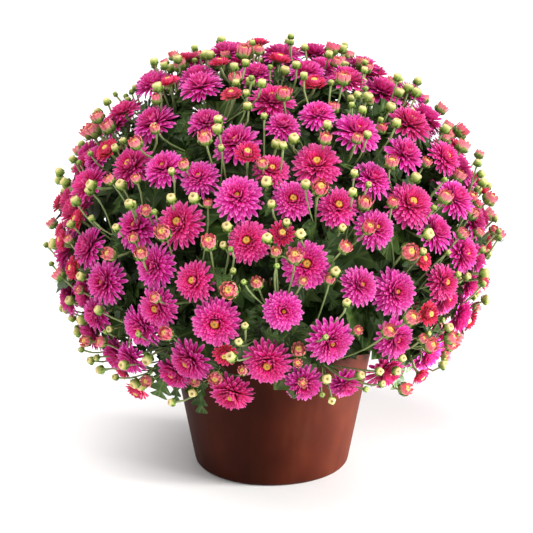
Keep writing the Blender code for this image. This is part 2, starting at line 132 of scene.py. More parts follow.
def dot(first, second):
    """Dot products over the last axis, which is kept."""
    return (first * second).sum(axis=-1, keepdims=True)


def square_to(axis, side):
    """This side direction, turned square to the axis."""
    return unit(side - dot(side, axis) * axis)


def turns(count, first=0.0):
    """The angles of this many equal steps round a whole turn, counted from a first step."""
    return (np.arange(count) + first) * 2 * math.pi / count


def swing(angles, right, up):
    """The direction at each angle: right times its cosine, plus up times its sine."""
    return np.cos(angles)[..., None] * right + np.sin(angles)[..., None] * up


# %% Points of the dome
DOME_CENTRE, DOME_RADII = DOME_MIDDLE * UP, np.array((DOME_RADIUS, DOME_RADIUS, DOME_RISE))


def on_dome(height, azimuth):
    """Points of the dome: out from the axis by the radius times the root of one less the square of
    the height above the middle, as a share of the rise."""
    out = DOME_RADIUS * np.sqrt(np.clip(1 - ((height - DOME_MIDDLE) / DOME_RISE) ** 2, 0, 1))
    return np.stack([out * np.cos(azimuth), out * np.sin(azimuth), height], axis=-1)


def off_dome(points):
    """The dome's outward direction: the offset from its middle, each part over its radius squared."""
    return unit((points - DOME_CENTRE) / DOME_RADII**2)


def way_out(points):
    """The direction in which a stem ends here: away from the crown, or from higher up the axis."""
    return unit(points - (CROWN_HEIGHT + ARCH * np.maximum(0, DOME_MIDDLE - points[..., 2:])) * UP)


def soil_height(radius):
    """The top of the soil, which falls evenly from its crown to its edge."""
    return SOIL_EDGE + (SOIL_CROWN - SOIL_EDGE) * (1 - radius / POT_TOP_RADIUS)


# %% The stems, at equal shares of the soil's area and of the dome's height, a golden angle apart
share, azimuth = (np.arange(STEM_COUNT) + 0.5) / STEM_COUNT, np.arange(STEM_COUNT) * GOLDEN_ANGLE
radius = HOLE_CIRCLE * np.sqrt(share)
HOLES = np.stack([radius * np.cos(azimuth), radius * np.sin(azimuth), soil_height(radius)], axis=-1)
SITES = on_dome(DOME_TOP - share * (DOME_TOP - STEM_FOOT), azimuth)
stems = [
    SimpleNamespace(number=number, hole=hole, site=site, way=way_out(site), heads=[], leaves=[])
    for number, (hole, site) in enumerate(zip(HOLES, SITES))
]
print(len(stems), "stems")

# %% [markdown]
# ## Where the flowers sit
#
# Flowers crowd the dome but don't lie in each other. The largest are placed first, each at the
# first of many random spots that is clear of all the others. One may lie over the edge of another
# where it stands well above it. A few leafy places on the near side stay free of open blooms.

# %% Scatter the heads
def column(items, name):
    """One value of many items, as an array."""
    return np.array([getattr(item, name) for item in items])


def spots_on_dome(rng, foot, stand):
    """Random points of the dome above its foot, and how far out of it each may stand."""
    spots = on_dome(rng.uniform(foot, DOME_TOP, TRIES), rng.uniform(0, 2 * math.pi, TRIES))
    return spots, rng.uniform(*stand, TRIES)


def place_head(rng, kind, radius):
    """Adds a head at the first random spot that keeps clear of every head there is."""
    spots, stands = spots_on_dome(rng, HEAD_KINDS[kind][4], HEAD_KINDS[kind][3])
    clear = np.ones(TRIES, bool)
    if heads:
        reach = radius + column(heads, "radius")
        apart = np.linalg.norm(spots[:, None] - column(heads, "spot"), axis=-1)
        step = np.abs(stands[:, None] - column(heads, "stand"))
        over = (apart > OVERLAP * reach) & (step > STEP_ABOVE * reach / 2)
        clear &= ((apart > reach + CLEARANCE) | over).all(axis=1)
    if "bloom" in kind:
        for place, bare in LEAFY_PLACES:
            clear &= np.linalg.norm(spots - np.array(place), axis=1) > bare
    pick = int(clear.argmax())
    spot, normal = spots[pick], off_dome(spots[pick])
    axis = unit(normal + way_out(spot) + LIFT * UP + SWAY * rng.normal(size=3))
    if clear[pick]:
        stem = int(np.linalg.norm(SITES - spot, axis=1).argmin())
        heads.append(SimpleNamespace(
            kind=kind, stem=stem, radius=radius, spot=spot, stand=float(stands[pick]), axis=axis,
            place=spot + normal * stands[pick]))


def foot_of(head):
    """Where a head meets its stalk."""
    return head.place - head.axis * head.radius * CALYX_DEPTHS[head.kind]


rng, heads = np.random.default_rng(SEED), []
for kind, (count, least, most, _, _) in HEAD_KINDS.items():
    for radius in np.sort(least + (most - least) * np.sqrt(rng.random(count)))[::-1]:
        place_head(rng, kind, float(radius))
for head in heads:
    stems[head.stem].heads.append(head)
print(len(heads), "heads in the solids")

# %% [markdown]
# ## How each stem runs
#
# A stem rises from its hole, bends once, and forks below the dome. There a rosette of inner leaves
# fills the stem's own share of the dome, and every flower's stalk leaves from among them.

# %% Trunks, inner leaves and stalks
def inner_leaves(stem, side):
    """Tips and notches of the rosette. Each reaches out to a share of the way to the next stem, is
    laid on the dome, and sinks to its depth below it."""
    others = np.delete(SITES, stem.number, axis=0) - stem.site
    normal = off_dome(stem.site)
    side = square_to(normal, side)
    spokes = swing(turns(2 * CORE_LEAVES), side, np.cross(normal, side))
    along = np.maximum(spokes @ others.T, 1e-6)
    reach = ((others**2).sum(axis=1) / (2 * along)).min(axis=1)
    reach = np.minimum(reach, 2 * np.median(reach))
    room = (stem.site[2] - CORE_FOOT) / np.maximum(-spokes[:, 2], 1e-6)
    reach = np.minimum(reach, room) * np.resize(CORE_REACH, len(spokes))
    out = stem.site + spokes * reach[:, None] - DOME_CENTRE
    tips = DOME_CENTRE + out / np.linalg.norm(out / DOME_RADII, axis=1)[:, None]
    return tips - way_out(tips) * np.resize(CORE_DEPTHS, len(tips))[:, None]


def lay_routes(stem):
    """The stem's trunk points, its rosette, and a start and an end for each flower's stalk."""
    fork, collar = stem.site - stem.way * FORK_DEPTH, stem.hole + COLLAR * UP
    bend = (collar + fork) / 2 + BEND_LIFT * UP
    stem.trunk = np.array([stem.hole - HOLE_DEPTH * UP, collar, bend, fork])
    steps = unit(np.diff(stem.trunk, axis=0))
    side = np.array((1.0, 0.0, 0.0))
    for axis in (steps[0], *unit(steps[:-1] + steps[1:]), steps[-1]):
        side = square_to(axis, side)
    stem.tips, stem.top = inner_leaves(stem, side), stem.site - stem.way * CORE_MIDDLE
    stem.heads.sort(key=lambda head: np.linalg.norm(foot_of(head) - stem.top))
    for head in stem.heads:
        aside = np.linalg.norm(np.cross(foot_of(head) - stem.site, stem.way))
        depth = np.clip(STALK_START_SLOPE[0] + STALK_START_SLOPE[1] * aside, *STALK_STARTS)
        depth = CORE_MIDDLE if head is stem.heads[0] else depth
        head.route = (stem.site - stem.way * depth, foot_of(head))


for stem in stems:
    lay_routes(stem)
print(sum(len(stem.tips) for stem in stems), "inner leaf tips and notches")

# %% [markdown]
# The single leaves of the solids were grown one by one, each where it keeps clear of everything
# else. Balls along the stalks, round the heads and over the inner leaves stand for what is there.

# %% What a leaf has to keep clear of
def sampled(start, end):
    """Points at even steps along a line."""
    count = max(2, int(np.linalg.norm(end - start) / SAMPLE_STEP))
    return start + (end - start) * np.linspace(0, 1, count)[:, None]


def crowd():
    """Middles, radii and stems of the balls, and whether each stands for inner leaves."""
    rows = []
    for stem in stems:
        lines = [*zip(stem.trunk, stem.trunk[1:]), *(head.route for head in stem.heads)]
        balls = [(sampled(*line), STEM_RADII[0], False) for line in lines]
        balls += [(head.place[None], head.radius, False) for head in stem.heads]
        balls += [(stem.top + share * (stem.tips - stem.top), CORE_BALL, True)
                  for share in CORE_BALL_SHARES]
        rows += [(points, *(np.full(len(points), value) for value in (radius, stem.number, inner)))
                 for points, radius, inner in balls]
    return [np.concatenate(values) for values in zip(*rows)]


def over_rim(points):
    """Whether all of these points keep clear of the pot: outside its rim, or above it."""
    outside = np.linalg.norm(points[:, :2], axis=1) > POT_TOP_RADIUS + RIM_PROUD + RIM_CLEARANCE
    return (outside | (points[:, 2] > POT_HEIGHT + RIM_CLEARANCE)).all()


# %% The single leaves of the solids
def leaf_edge(base, along, face, length):
    """The outline of a leaf: pairs of edge points and the keel between them, drooping with the
    square of the share of the way along."""
    side, points = np.cross(face, along), []
    for share, half_width in LEAF_OUTLINE:
        sweep = LEAF_SWEEP if half_width > LEAF_LOBE else 0.0
        middle = base + length * (share * along - LEAF_DROOP * share**2 * face)
        edge, reach = middle + length * sweep * along, side * half_width * length
        points += [edge - reach, middle - face * LEAF_KEEL, edge + reach] if half_width else [middle]
    return np.array(points)


def try_leaf(rng, stem, skirt):
    """A leaf that grows out of the stem's inner leaves, in a random direction."""
    edge = stem.tips[rng.integers(len(stem.tips))]
    base = stem.top + rng.uniform(*LEAF_SHARES) * (edge - stem.top) - LEAF_ROOT * stem.way
    aside = rng.normal(size=3) - (SKIRT_DROOP if skirt else 0.0) * UP
    along = swing(rng.uniform(*LEAF_TILTS), stem.way, square_to(stem.way, aside))
    return base, along, square_to(along, stem.way), rng.uniform(*LEAF_LENGTHS)


def grow_leaves(rng):
    """Leaves on every stem where there is room, with more round the foot of the dome."""
    points, radii, owners, inner = crowd()
    for stem in stems:
        skirt, tries = stem.site[2] < SKIRT_HEIGHT, 0
        while tries < LEAF_TRIES and len(stem.leaves) < (SKIRT_LEAVES if skirt else LEAVES_A_STEM):
            tries += 1
            leaf = try_leaf(rng, stem, skirt)
            edge, same = leaf_edge(*leaf), owners == stem.number
            gaps = np.linalg.norm(edge[:, None] - points, axis=-1) - radii
            room = np.where(same, np.where(inner, -CORE_BALL, SAME_STEM_CLEARANCE), LEAF_CLEARANCE)
            if over_rim(edge) and (gaps >= room).all():
                stem.leaves.append(leaf)
                points = np.concatenate([points, edge])
                radii = np.append(radii, np.full(len(edge), LEAF_BALL))
                owners = np.append(owners, np.full(len(edge), stem.number))
                inner = np.append(inner, np.full(len(edge), False))


grow_leaves(rng)
print(sum(len(stem.leaves) for stem in stems), "single leaves in the solids")

# %% Compare the places with the solids
def farthest_outside(stem):
    """How far the farthest head's middle or leaf's tip of this stem lies outside its solid's box."""
    low, high = (np.array(corner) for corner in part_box(f"flowering_stem_{stem.number + 1:02d}"))
    tips = [leaf_edge(*leaf)[-1] for leaf in stem.leaves]
    points = np.array([head.place for head in stem.heads] + tips + [stem.trunk[0]])
    return float(np.maximum(low - points, points - high).max())


outside = max(farthest_outside(stem) for stem in stems)
print(f"the farthest point of the rule lies {1000 * outside:.3f} mm outside its solid's box")

# %% [markdown]
# ## The small heads between the large ones
#
# A real plant holds some five hundred buds and half-open cups that would make the solids too
# heavy. They grow on side stalks that leave the stalk of a nearby flower. Each takes the first
# random place that is beside its neighbours' petals, or above their outer half.

# %% Scatter the small heads
MORE_KINDS = {
    "cup": (165, 0.0050, 0.0086, (-0.010, 0.012)),
    "bud": (330, 0.0027, 0.0055, (-0.012, 0.014)),
}
SMALL_HEAD_FOOT, SMALL_HEAD_SEED = 0.122, 5
PETAL_EDGE, OUTER_HALF, PETAL_TOP, SMALL_LIFT, SMALL_SWAY = 0.84, 0.50, 0.30, 1.5, 0.35


def clear_of(points, radius, found):
    """Whether each point keeps a ball of this radius beside every head, or above its outer half.
    A head is taken as a flat dome: the offset splits into a height along its axis and the rest."""
    axes, radii = column(found, "axis"), column(found, "radius")
    offset = points[:, None] - column(found, "place")
    height = dot(offset, axes)
    aside = np.linalg.norm(offset - height * axes, axis=-1)
    above = (height[..., 0] > PETAL_TOP * radii + radius) & (aside > OUTER_HALF * radii)
    return ((aside > PETAL_EDGE * radii + radius) | above).all(axis=1)


rng, small_heads = np.random.default_rng(SMALL_HEAD_SEED), []
for kind, (count, least, most, stand) in MORE_KINDS.items():
    for radius in np.sort(rng.uniform(least, most, count))[::-1]:
        spots, stands = spots_on_dome(rng, SMALL_HEAD_FOOT, stand)
        points = spots + off_dome(spots) * stands[:, None]
        clear = clear_of(points, radius, heads + small_heads)
        pick, sway = int(clear.argmax()), SMALL_SWAY * rng.normal(size=3)
        if clear[pick]:
            axis = unit(off_dome(spots[pick]) + way_out(spots[pick]) + SMALL_LIFT * UP + sway)
            small_heads.append(SimpleNamespace(kind=kind, radius=radius, place=points[pick], axis=axis))

# %% Their side stalks
SIDE_SHARES, SIDE_STEPS, SIDE_LENGTH, SIDE_PULL = (0.02, 0.70), 8, 0.060, 0.6


def side_stalks():
    """Each small head's stem and route. It starts at the point on any large flower's stalk from
    which the way to the head is nearest to its axis, and whose distance is nearest to that wanted."""
    large = [head for stem in stems for head in stem.heads]
    shares = np.linspace(*SIDE_SHARES, SIDE_STEPS)[:, None]
    points = np.concatenate([head.route[0] + shares * (head.route[1] - head.route[0]) for head in large])
    owners = np.repeat(column(large, "stem"), SIDE_STEPS)
    for head in small_heads:
        span = foot_of(head) - points
        length = np.linalg.norm(span, axis=1)
        score = span @ head.axis / length - np.abs(length - SIDE_LENGTH) / SIDE_LENGTH * SIDE_PULL
        best = int(score.argmax())
        head.stem, head.route = int(owners[best]), (points[best], foot_of(head))


side_stalks()
print(len(small_heads), "small heads on side stalks")

# %% [markdown]
# ## One way to make petals, leaves, stalks and buds
#
# Each of these is a loft: a spine with a section round every station of it. A blade has a flat
# section of three or four points, a stalk a round one, and a bud is a loft along its own axis.
# Thousands of them with the same number of stations are worked out in one array, and come out as
# one batch. Two vectors go with every point, for the materials to read: its place on its own blade
# (along, across, under), and its kind (opening, tone, level).

# %% A batch of lofts
def grid_of(rings, sides):
    """The numbers of the points of closed rings, those of their neighbours, and the quads between."""
    here = np.arange(rings * sides).reshape(rings, sides)
    after = np.roll(here, -1, axis=1)
    quads = np.stack([here[:-1], here[1:], after[1:], after[:-1]], axis=-1)
    return here, after, quads.reshape(-1, 4)


def faces_of(stations, sides):
    """One loft's corners and face sizes: a cap at the base, rings of quads, and a fan at the tip."""
    here, after, quads = grid_of(stations, sides)
    fan = np.stack([here[-1], np.full(sides, stations * sides), after[-1]], axis=1)
    corners = np.concatenate([here[0], quads.ravel(), fan.ravel()])
    return corners, np.repeat((sides, 4, 3), (1, len(quads), sides))


def loft(spine, side, up, across, above, shares, kind, stem, finish):
    """Rings round a spine that ends in a point. A ring's points lie at the spine's station, plus
    the side direction times across, plus the up direction times above."""
    count, (stations, sides) = len(spine), across.shape[-2:]
    across, above = (np.broadcast_to(size, (count, stations, sides)) for size in (across, above))
    rings = spine[:, :-1, None] + across[..., None] * side[:, :, None] + above[..., None] * up[:, :, None]
    points = np.concatenate([rings.reshape(count, -1, 3), spine[:, -1:]], axis=1)
    place = np.zeros((count, stations, sides, 3))
    place[..., 0] = shares[:-1, None]
    place[..., 1] = across / np.maximum(np.abs(across).max(axis=-1, keepdims=True), 1e-9)
    place[..., 2] = (1 - np.sin(turns(sides))) / 2
    tip = np.broadcast_to(np.array((1.0, 0.0, 0.5)), (count, 1, 3))
    place = np.concatenate([place.reshape(count, -1, 3), tip], axis=1)
    kind = np.broadcast_to(kind[:, None], place.shape)
    return SimpleNamespace(values=[points, place, kind], stem=stem, finish=finish,
                           faces=faces_of(stations, sides))


# %% Blades: petals, leaves and bracts
def blades(base, out, face, length, half_width, form, kind, stem, finish):
    """Thin blades that start along out, with face as their upper side. The angle above out grows
    from tilt by curl over the length, and the spine is the sum of the steps at those angles. The
    section is a shallow channel whose middle sinks by channel times the half-width. A keeled
    blade is flat on top."""
    shares = np.array(form["shares"])
    tilt, curl, roll, sway = (form[name][:, None] for name in ("tilt", "curl", "roll", "sway"))
    across, out, face = np.cross(out, face)[:, None], out[:, None], face[:, None]
    steps = swing(tilt + curl * ((shares[1:] + shares[:-1]) / 2), out, face)
    steps = np.cumsum(steps * (np.diff(shares) * length[:, None])[..., None], axis=1)
    spine = base[:, None] + np.concatenate([np.zeros_like(steps[:, :1]), steps], axis=1)
    spine = spine + (sway * shares**2 * length[:, None])[..., None] * across
    angles, rolls = tilt + curl * shares[:-1], roll * shares[:-1]
    up, along = swing(angles, face, -out), swing(angles, out, face)
    side, up = swing(rolls, across, up), swing(rolls, up, -across)
    half = half_width[:, None] * np.array(form["widths"])
    none, low = np.zeros_like(half), -form["channel"] * half
    spread = np.stack([half, none, -half, none], axis=-1)
    above = np.stack([none, low, none, low - form["thickness"]], axis=-1)
    if form.get("keeled"):
        spread, above = spread[..., (0, 2, 3)], above[..., (0, 2, 3)]
    made = loft(spine, side, up, spread, above, shares, kind, stem, finish)
    if "sweep" in form:
        rings = made.values[0][:, :-1].reshape(*half.shape, 4, 3)
        rings[:, :, ::2] += (form["sweep"] * length[:, None])[..., None, None] * along[:, :, None]
        made.values[0][:, :-1] = rings.reshape(len(base), -1, 3)
    return made


# %% Stalks
def tubes(spine, radii, sides, kind, stem, finish):
    """Round sections square to a spine. The up direction is one that all of a stalk's steps are
    far from, made square to each step."""
    steps = np.diff(spine, axis=1)
    axes = unit(np.concatenate([steps[:, :1], steps[:, :-1] + steps[:, 1:]], axis=1))
    away = np.eye(3)[np.abs(unit(spine[:, -1] - spine[:, 0])).argmin(axis=1)]
    up = square_to(axes, away[:, None])
    across, above = (radii[..., None] * wave(turns(sides)) for wave in (np.cos, np.sin))
    shares = np.linspace(0, 1, spine.shape[1])
    return loft(spine, np.cross(axes, up), up, across, above, shares, kind, stem, finish)


# %% [markdown]
# ## Petals in their layers
#
# A double bloom is a head of many ray florets. The outer petals spread flat and droop at their
# tips, and each layer inside is shorter and more upright, so the flower is a low dome round a
# small eye. Each layer is one batch over all the blooms at once. Its numbers come from how far in
# it is, from 0 for the outermost layer to 1 for the innermost. A cup's petals stand up like the
# staves of a barrel and lean in at their tips.

# %% Heads as arrays
def gathered(rng, chosen, opening):
    """Many heads' values as arrays, each head with a random turn, opening and tone."""
    axis, count = column(chosen, "axis"), len(chosen)
    turn = square_to(axis, rng.normal(size=axis.shape))
    return SimpleNamespace(
        place=column(chosen, "place"), axis=axis, turn=turn, radius=column(chosen, "radius"),
        stem=column(chosen, "stem"), opening=rng.uniform(*opening, count), tone=rng.uniform(0, 1, count))


# %% A layer of petals on many heads
LAYER_TURN, TURN_STRAY, LENGTH_STRAY, TONE_SHARE = 2.6, 0.12, 1 / 3, 0.55
STRAYS = {"tilt": (2, 1.0), "curl": (3, 1.4), "roll": (4, 3.0), "sway": (0, 0.6)}


def layer(rng, heads, count, root, length, half_width, form, level, finish, spread):
    """Blades round each head that start at the root, a radius and a height in head radii. Spread
    is how far the angles stray from the rule, in radians, and lengths stray by a third of it."""
    stray = rng.normal(size=(5, len(heads.place), count))
    angles = turns(count, (level * LAYER_TURN) % 1 + TURN_STRAY * stray[0])
    spokes = swing(angles, heads.turn[:, None], np.cross(heads.axis, heads.turn)[:, None])
    axis, radius = np.broadcast_to(heads.axis[:, None], spokes.shape), heads.radius[:, None]
    base = heads.place[:, None] + radius[..., None] * (root[0] * spokes + root[1] * axis)
    lengths = radius * length * (1 + spread * LENGTH_STRAY * stray[1])
    tone = TONE_SHARE * heads.tone[:, None] + (1 - TONE_SHARE) * rng.uniform(0, 1, angles.shape)
    opening = np.broadcast_to(heads.opening[:, None], angles.shape)
    kind = np.stack([opening, tone, np.full(angles.shape, level)], axis=-1)
    own = {name: (form.get(name, 0.0) + share * spread * stray[row]).ravel()
           for name, (row, share) in STRAYS.items()}
    widths = np.broadcast_to(radius * half_width, angles.shape)
    flat = [values.reshape(-1, *values.shape[2:]) for values in (base, spokes, axis, lengths, widths)]
    return blades(*flat, form | own, kind.reshape(-1, 3), np.repeat(heads.stem, count), finish)


# %% The petals' forms, and each kind's layers as a value for the outermost and its change inwards
STRAP = {"shares": (0, 0.36, 0.70, 0.92, 1), "widths": (0.42, 0.80, 1.00, 0.68),
         "channel": 0.30, "thickness": 0.0004}
SHORT_STRAP = STRAP | {"shares": (0, 0.48, 0.88, 1), "widths": (0.50, 0.95, 0.74)}
INNER_STRAP = SHORT_STRAP | {"keeled": True}
STAVE = STRAP | {"shares": (0, 0.50, 0.84, 1), "widths": (0.62, 1.00, 0.76)}
BLOOM_ROOT, FULL_EYE, FRESH_EYE = 0.20, 0.10, 0.17
PETALS = {
    "bloom": {"straps": [STRAP, STRAP, *[INNER_STRAP] * 5], "counts": (21, 21, 23, 22, 21, 18, 14),
              "innermost": 1.0, "lift": (-0.22, 0.18), "tilt": (4, 66), "curl": (-26, 30),
              "length": (0.93, -0.44), "half_width": (0.102, -0.030), "spread": 0.10},
    "young": {"straps": [SHORT_STRAP] * 4, "counts": (16, 15, 13, 10), "innermost": 1.0,
              "lift": (-0.30, 0.16), "tilt": (22, 50), "curl": (-6, 34),
              "length": (0.78, -0.36), "half_width": (0.150, -0.04), "spread": 0.07},
    "cup": {"straps": [STAVE] * 2, "counts": (9, 8), "innermost": 0.6, "lift": (-0.58, 0.0),
            "tilt": (63, 18), "curl": (36, 22), "length": (1.26, -0.14), "half_width": (0.27, 0.0),
            "spread": 0.06},
}
print({kind: sum(rule["counts"]) for kind, rule in PETALS.items()}, "petals a head")


def petals(rng, heads, kind, root):
    """The layers of one kind, whose root radius is a value and its change too."""
    rule = PETALS[kind] | {"root": root}
    levels = np.linspace(0, rule["innermost"], len(rule["counts"]))
    for level, count, strap in zip(levels, rule["counts"], rule["straps"]):
        at = {name: value[0] + value[1] * level for name, value in rule.items()
              if name in ("root", "lift", "tilt", "curl", "length", "half_width")}
        form = strap | {name: math.radians(at[name]) for name in ("tilt", "curl")}
        yield layer(rng, heads, count, (at["root"], at["lift"]), at["length"], at["half_width"],
                    form, level, "petal", rule["spread"])


# %% The eyes, buds and green cups, as profiles of radii and heights
EYE = ((0.90, -0.60), (1.02, 0.05), (0.82, 0.46), (0.46, 0.52), (0.20, 0.26), (0.0, 0.10))
BUD = ((0.22, -1.0), (0.68, -0.78), (0.92, -0.25), (0.95, 0.30), (0.80, 0.70), (0.42, 0.86), (0.0, 0.36))
BLOOM_CALYX = ((0.06, -0.47), (0.20, -0.42), (0.32, -0.30), (0.30, -0.18), (0.0, -0.14))
CUP_CALYX = ((0.14, -1.02), (0.50, -0.92), (0.80, -0.64), (0.84, -0.36), (0.0, -0.30))
SIDES = {"eye": 10, "bud": 8, "bract": 8}
BRACT = {"shares": (0, 0.45, 0.80, 1), "widths": (0.8, 1.0, 0.55), "channel": -0.25, "thickness": 0.0003}
BRACT_SPREAD, RIPE_RADIUS, RIPE_RANGE = 0.05, 0.0028, 0.0010
OPENINGS = ((0.76, 0.88), (0.90, 1.0), (0.42, 0.72), (0.05, 0.42), (0.0, 0.12))


def round_form(heads, finish, profile, lift=0.0, size=1.0, ribs=0.0, level=0.0):
    """A profile turned about each head's axis, at a height and of a size in head radii. Every
    other point of a ring stands out by ribs, and each ring is turned half a point from the last."""
    profile, radius, axis = np.array(profile), (size * heads.radius)[:, None], heads.axis[:, None]
    middle = (heads.place + (lift * heads.radius)[:, None] * heads.axis)[:, None]
    spine = middle + (radius * profile[:, 1])[..., None] * axis
    angles = turns(SIDES[finish], np.arange(len(profile) - 1)[:, None] / 2)
    proud = 1 + ribs * np.resize((1, -1), SIDES[finish])
    reach = radius[..., None] * profile[:-1, 0, None] * proud
    up = np.broadcast_to(np.cross(heads.axis, heads.turn)[:, None], spine[:, :-1].shape)
    kind = [heads.opening, heads.tone, np.broadcast_to(level, heads.tone.shape)]
    return loft(spine, np.cross(axis, up), up, reach * np.cos(angles), reach * np.sin(angles),
                np.linspace(0, 1, len(profile)), np.stack(kind, axis=1), heads.stem, finish)


def bracts(rng, heads, count, root, length, half_width, tilt, curl):
    """Green bracts that clasp the lower half of a head."""
    form = BRACT | {"tilt": math.radians(tilt), "curl": math.radians(curl)}
    return layer(rng, heads, count, root, length, half_width, form, 0.0, "bract", BRACT_SPREAD)


def head_batches(rng):
    """Every batch of the heads: fresh blooms, a third of all, with a larger eye, full blooms, young
    ones, cups and buds, each kind over its own range of openings."""
    kinds = [[head for head in heads + small_heads if head.kind == kind] for kind in HEAD_KINDS]
    groups = kinds[0][::3], kinds[0][1::3] + kinds[0][2::3], *kinds[1:]
    fresh, full, young, cups, buds = (
        gathered(rng, group, opening) for group, opening in zip(groups, OPENINGS))
    ripeness = np.clip((buds.radius - RIPE_RADIUS) / RIPE_RANGE, 0, 1)
    for blooms, eye in ((full, FULL_EYE), (fresh, FRESH_EYE)):
        yield from petals(rng, blooms, "bloom", root=(BLOOM_ROOT, eye - BLOOM_ROOT))
        yield round_form(blooms, "eye", EYE, lift=0.12, size=1.15 * eye, ribs=0.07, level=blooms.opening)
        yield round_form(blooms, "bract", BLOOM_CALYX, ribs=0.05)
    yield from petals(rng, young, "young", root=(0.26, 0.0))
    yield round_form(young, "eye", EYE, lift=0.10, size=0.27, ribs=0.07, level=0.6)
    yield round_form(young, "bract", BLOOM_CALYX, size=1.15, ribs=0.05)
    yield from petals(rng, cups, "cup", root=(0.58, -0.14))
    yield round_form(cups, "eye", EYE, lift=0.14, size=0.50, ribs=0.10, level=0.2)
    yield round_form(cups, "bract", CUP_CALYX, ribs=0.04)
    yield bracts(rng, cups, 6, root=(0.52, -0.98), length=1.15, half_width=0.34, tilt=20, curl=100)
    yield round_form(buds, "bud", BUD, ribs=0.09, level=ripeness)
    yield bracts(rng, buds, 5, root=(0.34, -1.02), length=1.50, half_width=0.46, tilt=0, curl=120)


# %% [markdown]
# ## Stalks
#
# A trunk is a smooth curve through its hole, its bend and its fork, up to the middle of its inner
# leaves. A flower's stalk leaves the trunk along it and turns to meet the flower square on.

# %% Trunks and stalks
TRUNK_STEPS, STALK_STEPS, TRUNK_SIDES, STALK_SIDES = 14, 7, 7, 4
STALK_RADII, SIDE_STALK_RADII = (0.0013, 0.0011, 0.0016), (0.00095, 0.00085, 0.00110)
TRUNK_TOP_RADIUS, TRUNK_TIP, STALK_TIP = 0.0012, 0.003, 0.3
OUTWARD, LEAVING, ARRIVING, SIDE_ARRIVING = 0.35, 0.34, 0.20, 0.40


def smooth_line(points, count):
    """A curve through these points: between each two, the cubic whose ends run along the line from
    the point before to the point after."""
    padded = np.concatenate([[2 * points[0] - points[1]], points, [2 * points[-1] - points[-2]]])
    place = np.linspace(0, len(points) - 1 - 1e-9, count)
    first, t = place.astype(int), (place % 1)[:, None]
    a, b, c, d = (padded[first + k] for k in range(4))
    return (2 * b + (c - a) * t + (2 * a - 5 * b + 4 * c - d) * t**2 + (3 * b - a - 3 * c + d) * t**3) / 2


def tapered(radii, count, rows):
    """Radii at even steps, for this many stalks."""
    sizes = np.interp(np.linspace(0, 1, count), np.linspace(0, 1, len(radii)), radii)
    return np.broadcast_to(sizes, (rows, count))


def plain_kind(rng, count, level):
    """Opening 0, a random tone, and this level."""
    return np.stack([np.zeros(count), rng.uniform(0, 1, count), np.full(count, level)], axis=1)


def trunk_batch(rng):
    """All trunks. Each goes a little past the start of its first stalk, and tapers to its radius."""
    spines = [[*smooth_line(np.array([*stem.trunk, stem.top]), TRUNK_STEPS),
               stem.top + TRUNK_TIP * stem.way] for stem in stems]
    radii = tapered([*STEM_RADII, TRUNK_TOP_RADIUS], TRUNK_STEPS, len(stems))
    kind = plain_kind(rng, len(stems), 1.0)
    return tubes(np.array(spines), radii, TRUNK_SIDES, kind, np.arange(len(stems)), "stalk")


def stalk_batch(rng, chosen, radii, straight):
    """These heads' stalks: cubics that leave between outwards and the head's own way, and arrive
    along its axis, which they hold over the straight share. Each ends inside the green cup."""
    start, end = column(chosen, "route").transpose(1, 0, 2)
    axis, stem = column(chosen, "axis"), column(chosen, "stem")
    away = unit(OUTWARD * way_out(SITES[stem]) + unit(end - start))
    length = np.linalg.norm(end - start, axis=1, keepdims=True)
    near, far = start + LEAVING * length * away, end - straight * length * axis
    t = np.linspace(0, 1, STALK_STEPS)[:, None, None]
    line = (1 - t) ** 3 * start + 3 * (1 - t) ** 2 * t * near + 3 * (1 - t) * t**2 * far + t**3 * end
    tip = end + STALK_TIP * column(chosen, "radius")[:, None] * axis
    spine = np.concatenate([line, tip[None]]).transpose(1, 0, 2)
    radii, kind = tapered(radii, STALK_STEPS, len(chosen)), plain_kind(rng, len(chosen), 0.0)
    return tubes(spine, radii, STALK_SIDES, kind, stem, "stalk")


def stalk_batches(rng):
    """The trunks, the stalks of the solids' heads, and the side stalks."""
    yield trunk_batch(rng)
    yield stalk_batch(rng, heads, STALK_RADII, ARRIVING)
    yield stalk_batch(rng, small_heads, SIDE_STALK_RADII, SIDE_ARRIVING)


# %% [markdown]
# ## Leaves
#
# The leaf has three rounded lobes on each side, cut most of the way to the midrib and swept
# forward, on a short flat stalk. Its half-width is a smooth outline times a wave with three crests.
# Some leaves stand where the solids have them. The others fill the dark of the dome: they reach up
# to just under its surface wherever no flower is in the way.

# %% The form of a leaf
LEAF_STALK, LEAF_STALK_WIDTH, LOBES, LOBE_SWEEP, LOBE_END, SKEW = 0.20, 0.07, 3, 0.60, 0.93, 0.8


def leaf_form(stations, lobe_depth, width):
    """Shares and widths: past the leaf's own stalk, the half-width is the root of a skewed arch,
    times one less the lobe depth times the fourth power of a cosine with three half-turns."""
    shares = np.linspace(0, 1, stations + 1)
    blade = np.clip((shares - LEAF_STALK) / (1 - LEAF_STALK), 0, 1)
    arch = np.sqrt(np.clip(4 * blade**SKEW * (1 - blade**SKEW), 0, 1))
    wave = 1 - lobe_depth * np.abs(np.cos(LOBES * math.pi * blade)) ** 4 * (blade < LOBE_END)
    widths = np.maximum(arch * wave, LEAF_STALK_WIDTH)[:-1]
    sweep = LOBE_SWEEP * width * widths * (widths > LEAF_STALK_WIDTH)
    return {"shares": shares, "widths": widths, "sweep": sweep, "width": width, "channel": 0.22,
            "thickness": 0.0004}


LEAF, LEAFLET, SHADE_LEAF = leaf_form(12, 0.80, 0.29), leaf_form(7, 0.0, 0.13), leaf_form(7, 0.3, 0.40)
print("half-widths of a leaf:", np.round(LEAF["widths"], 2))

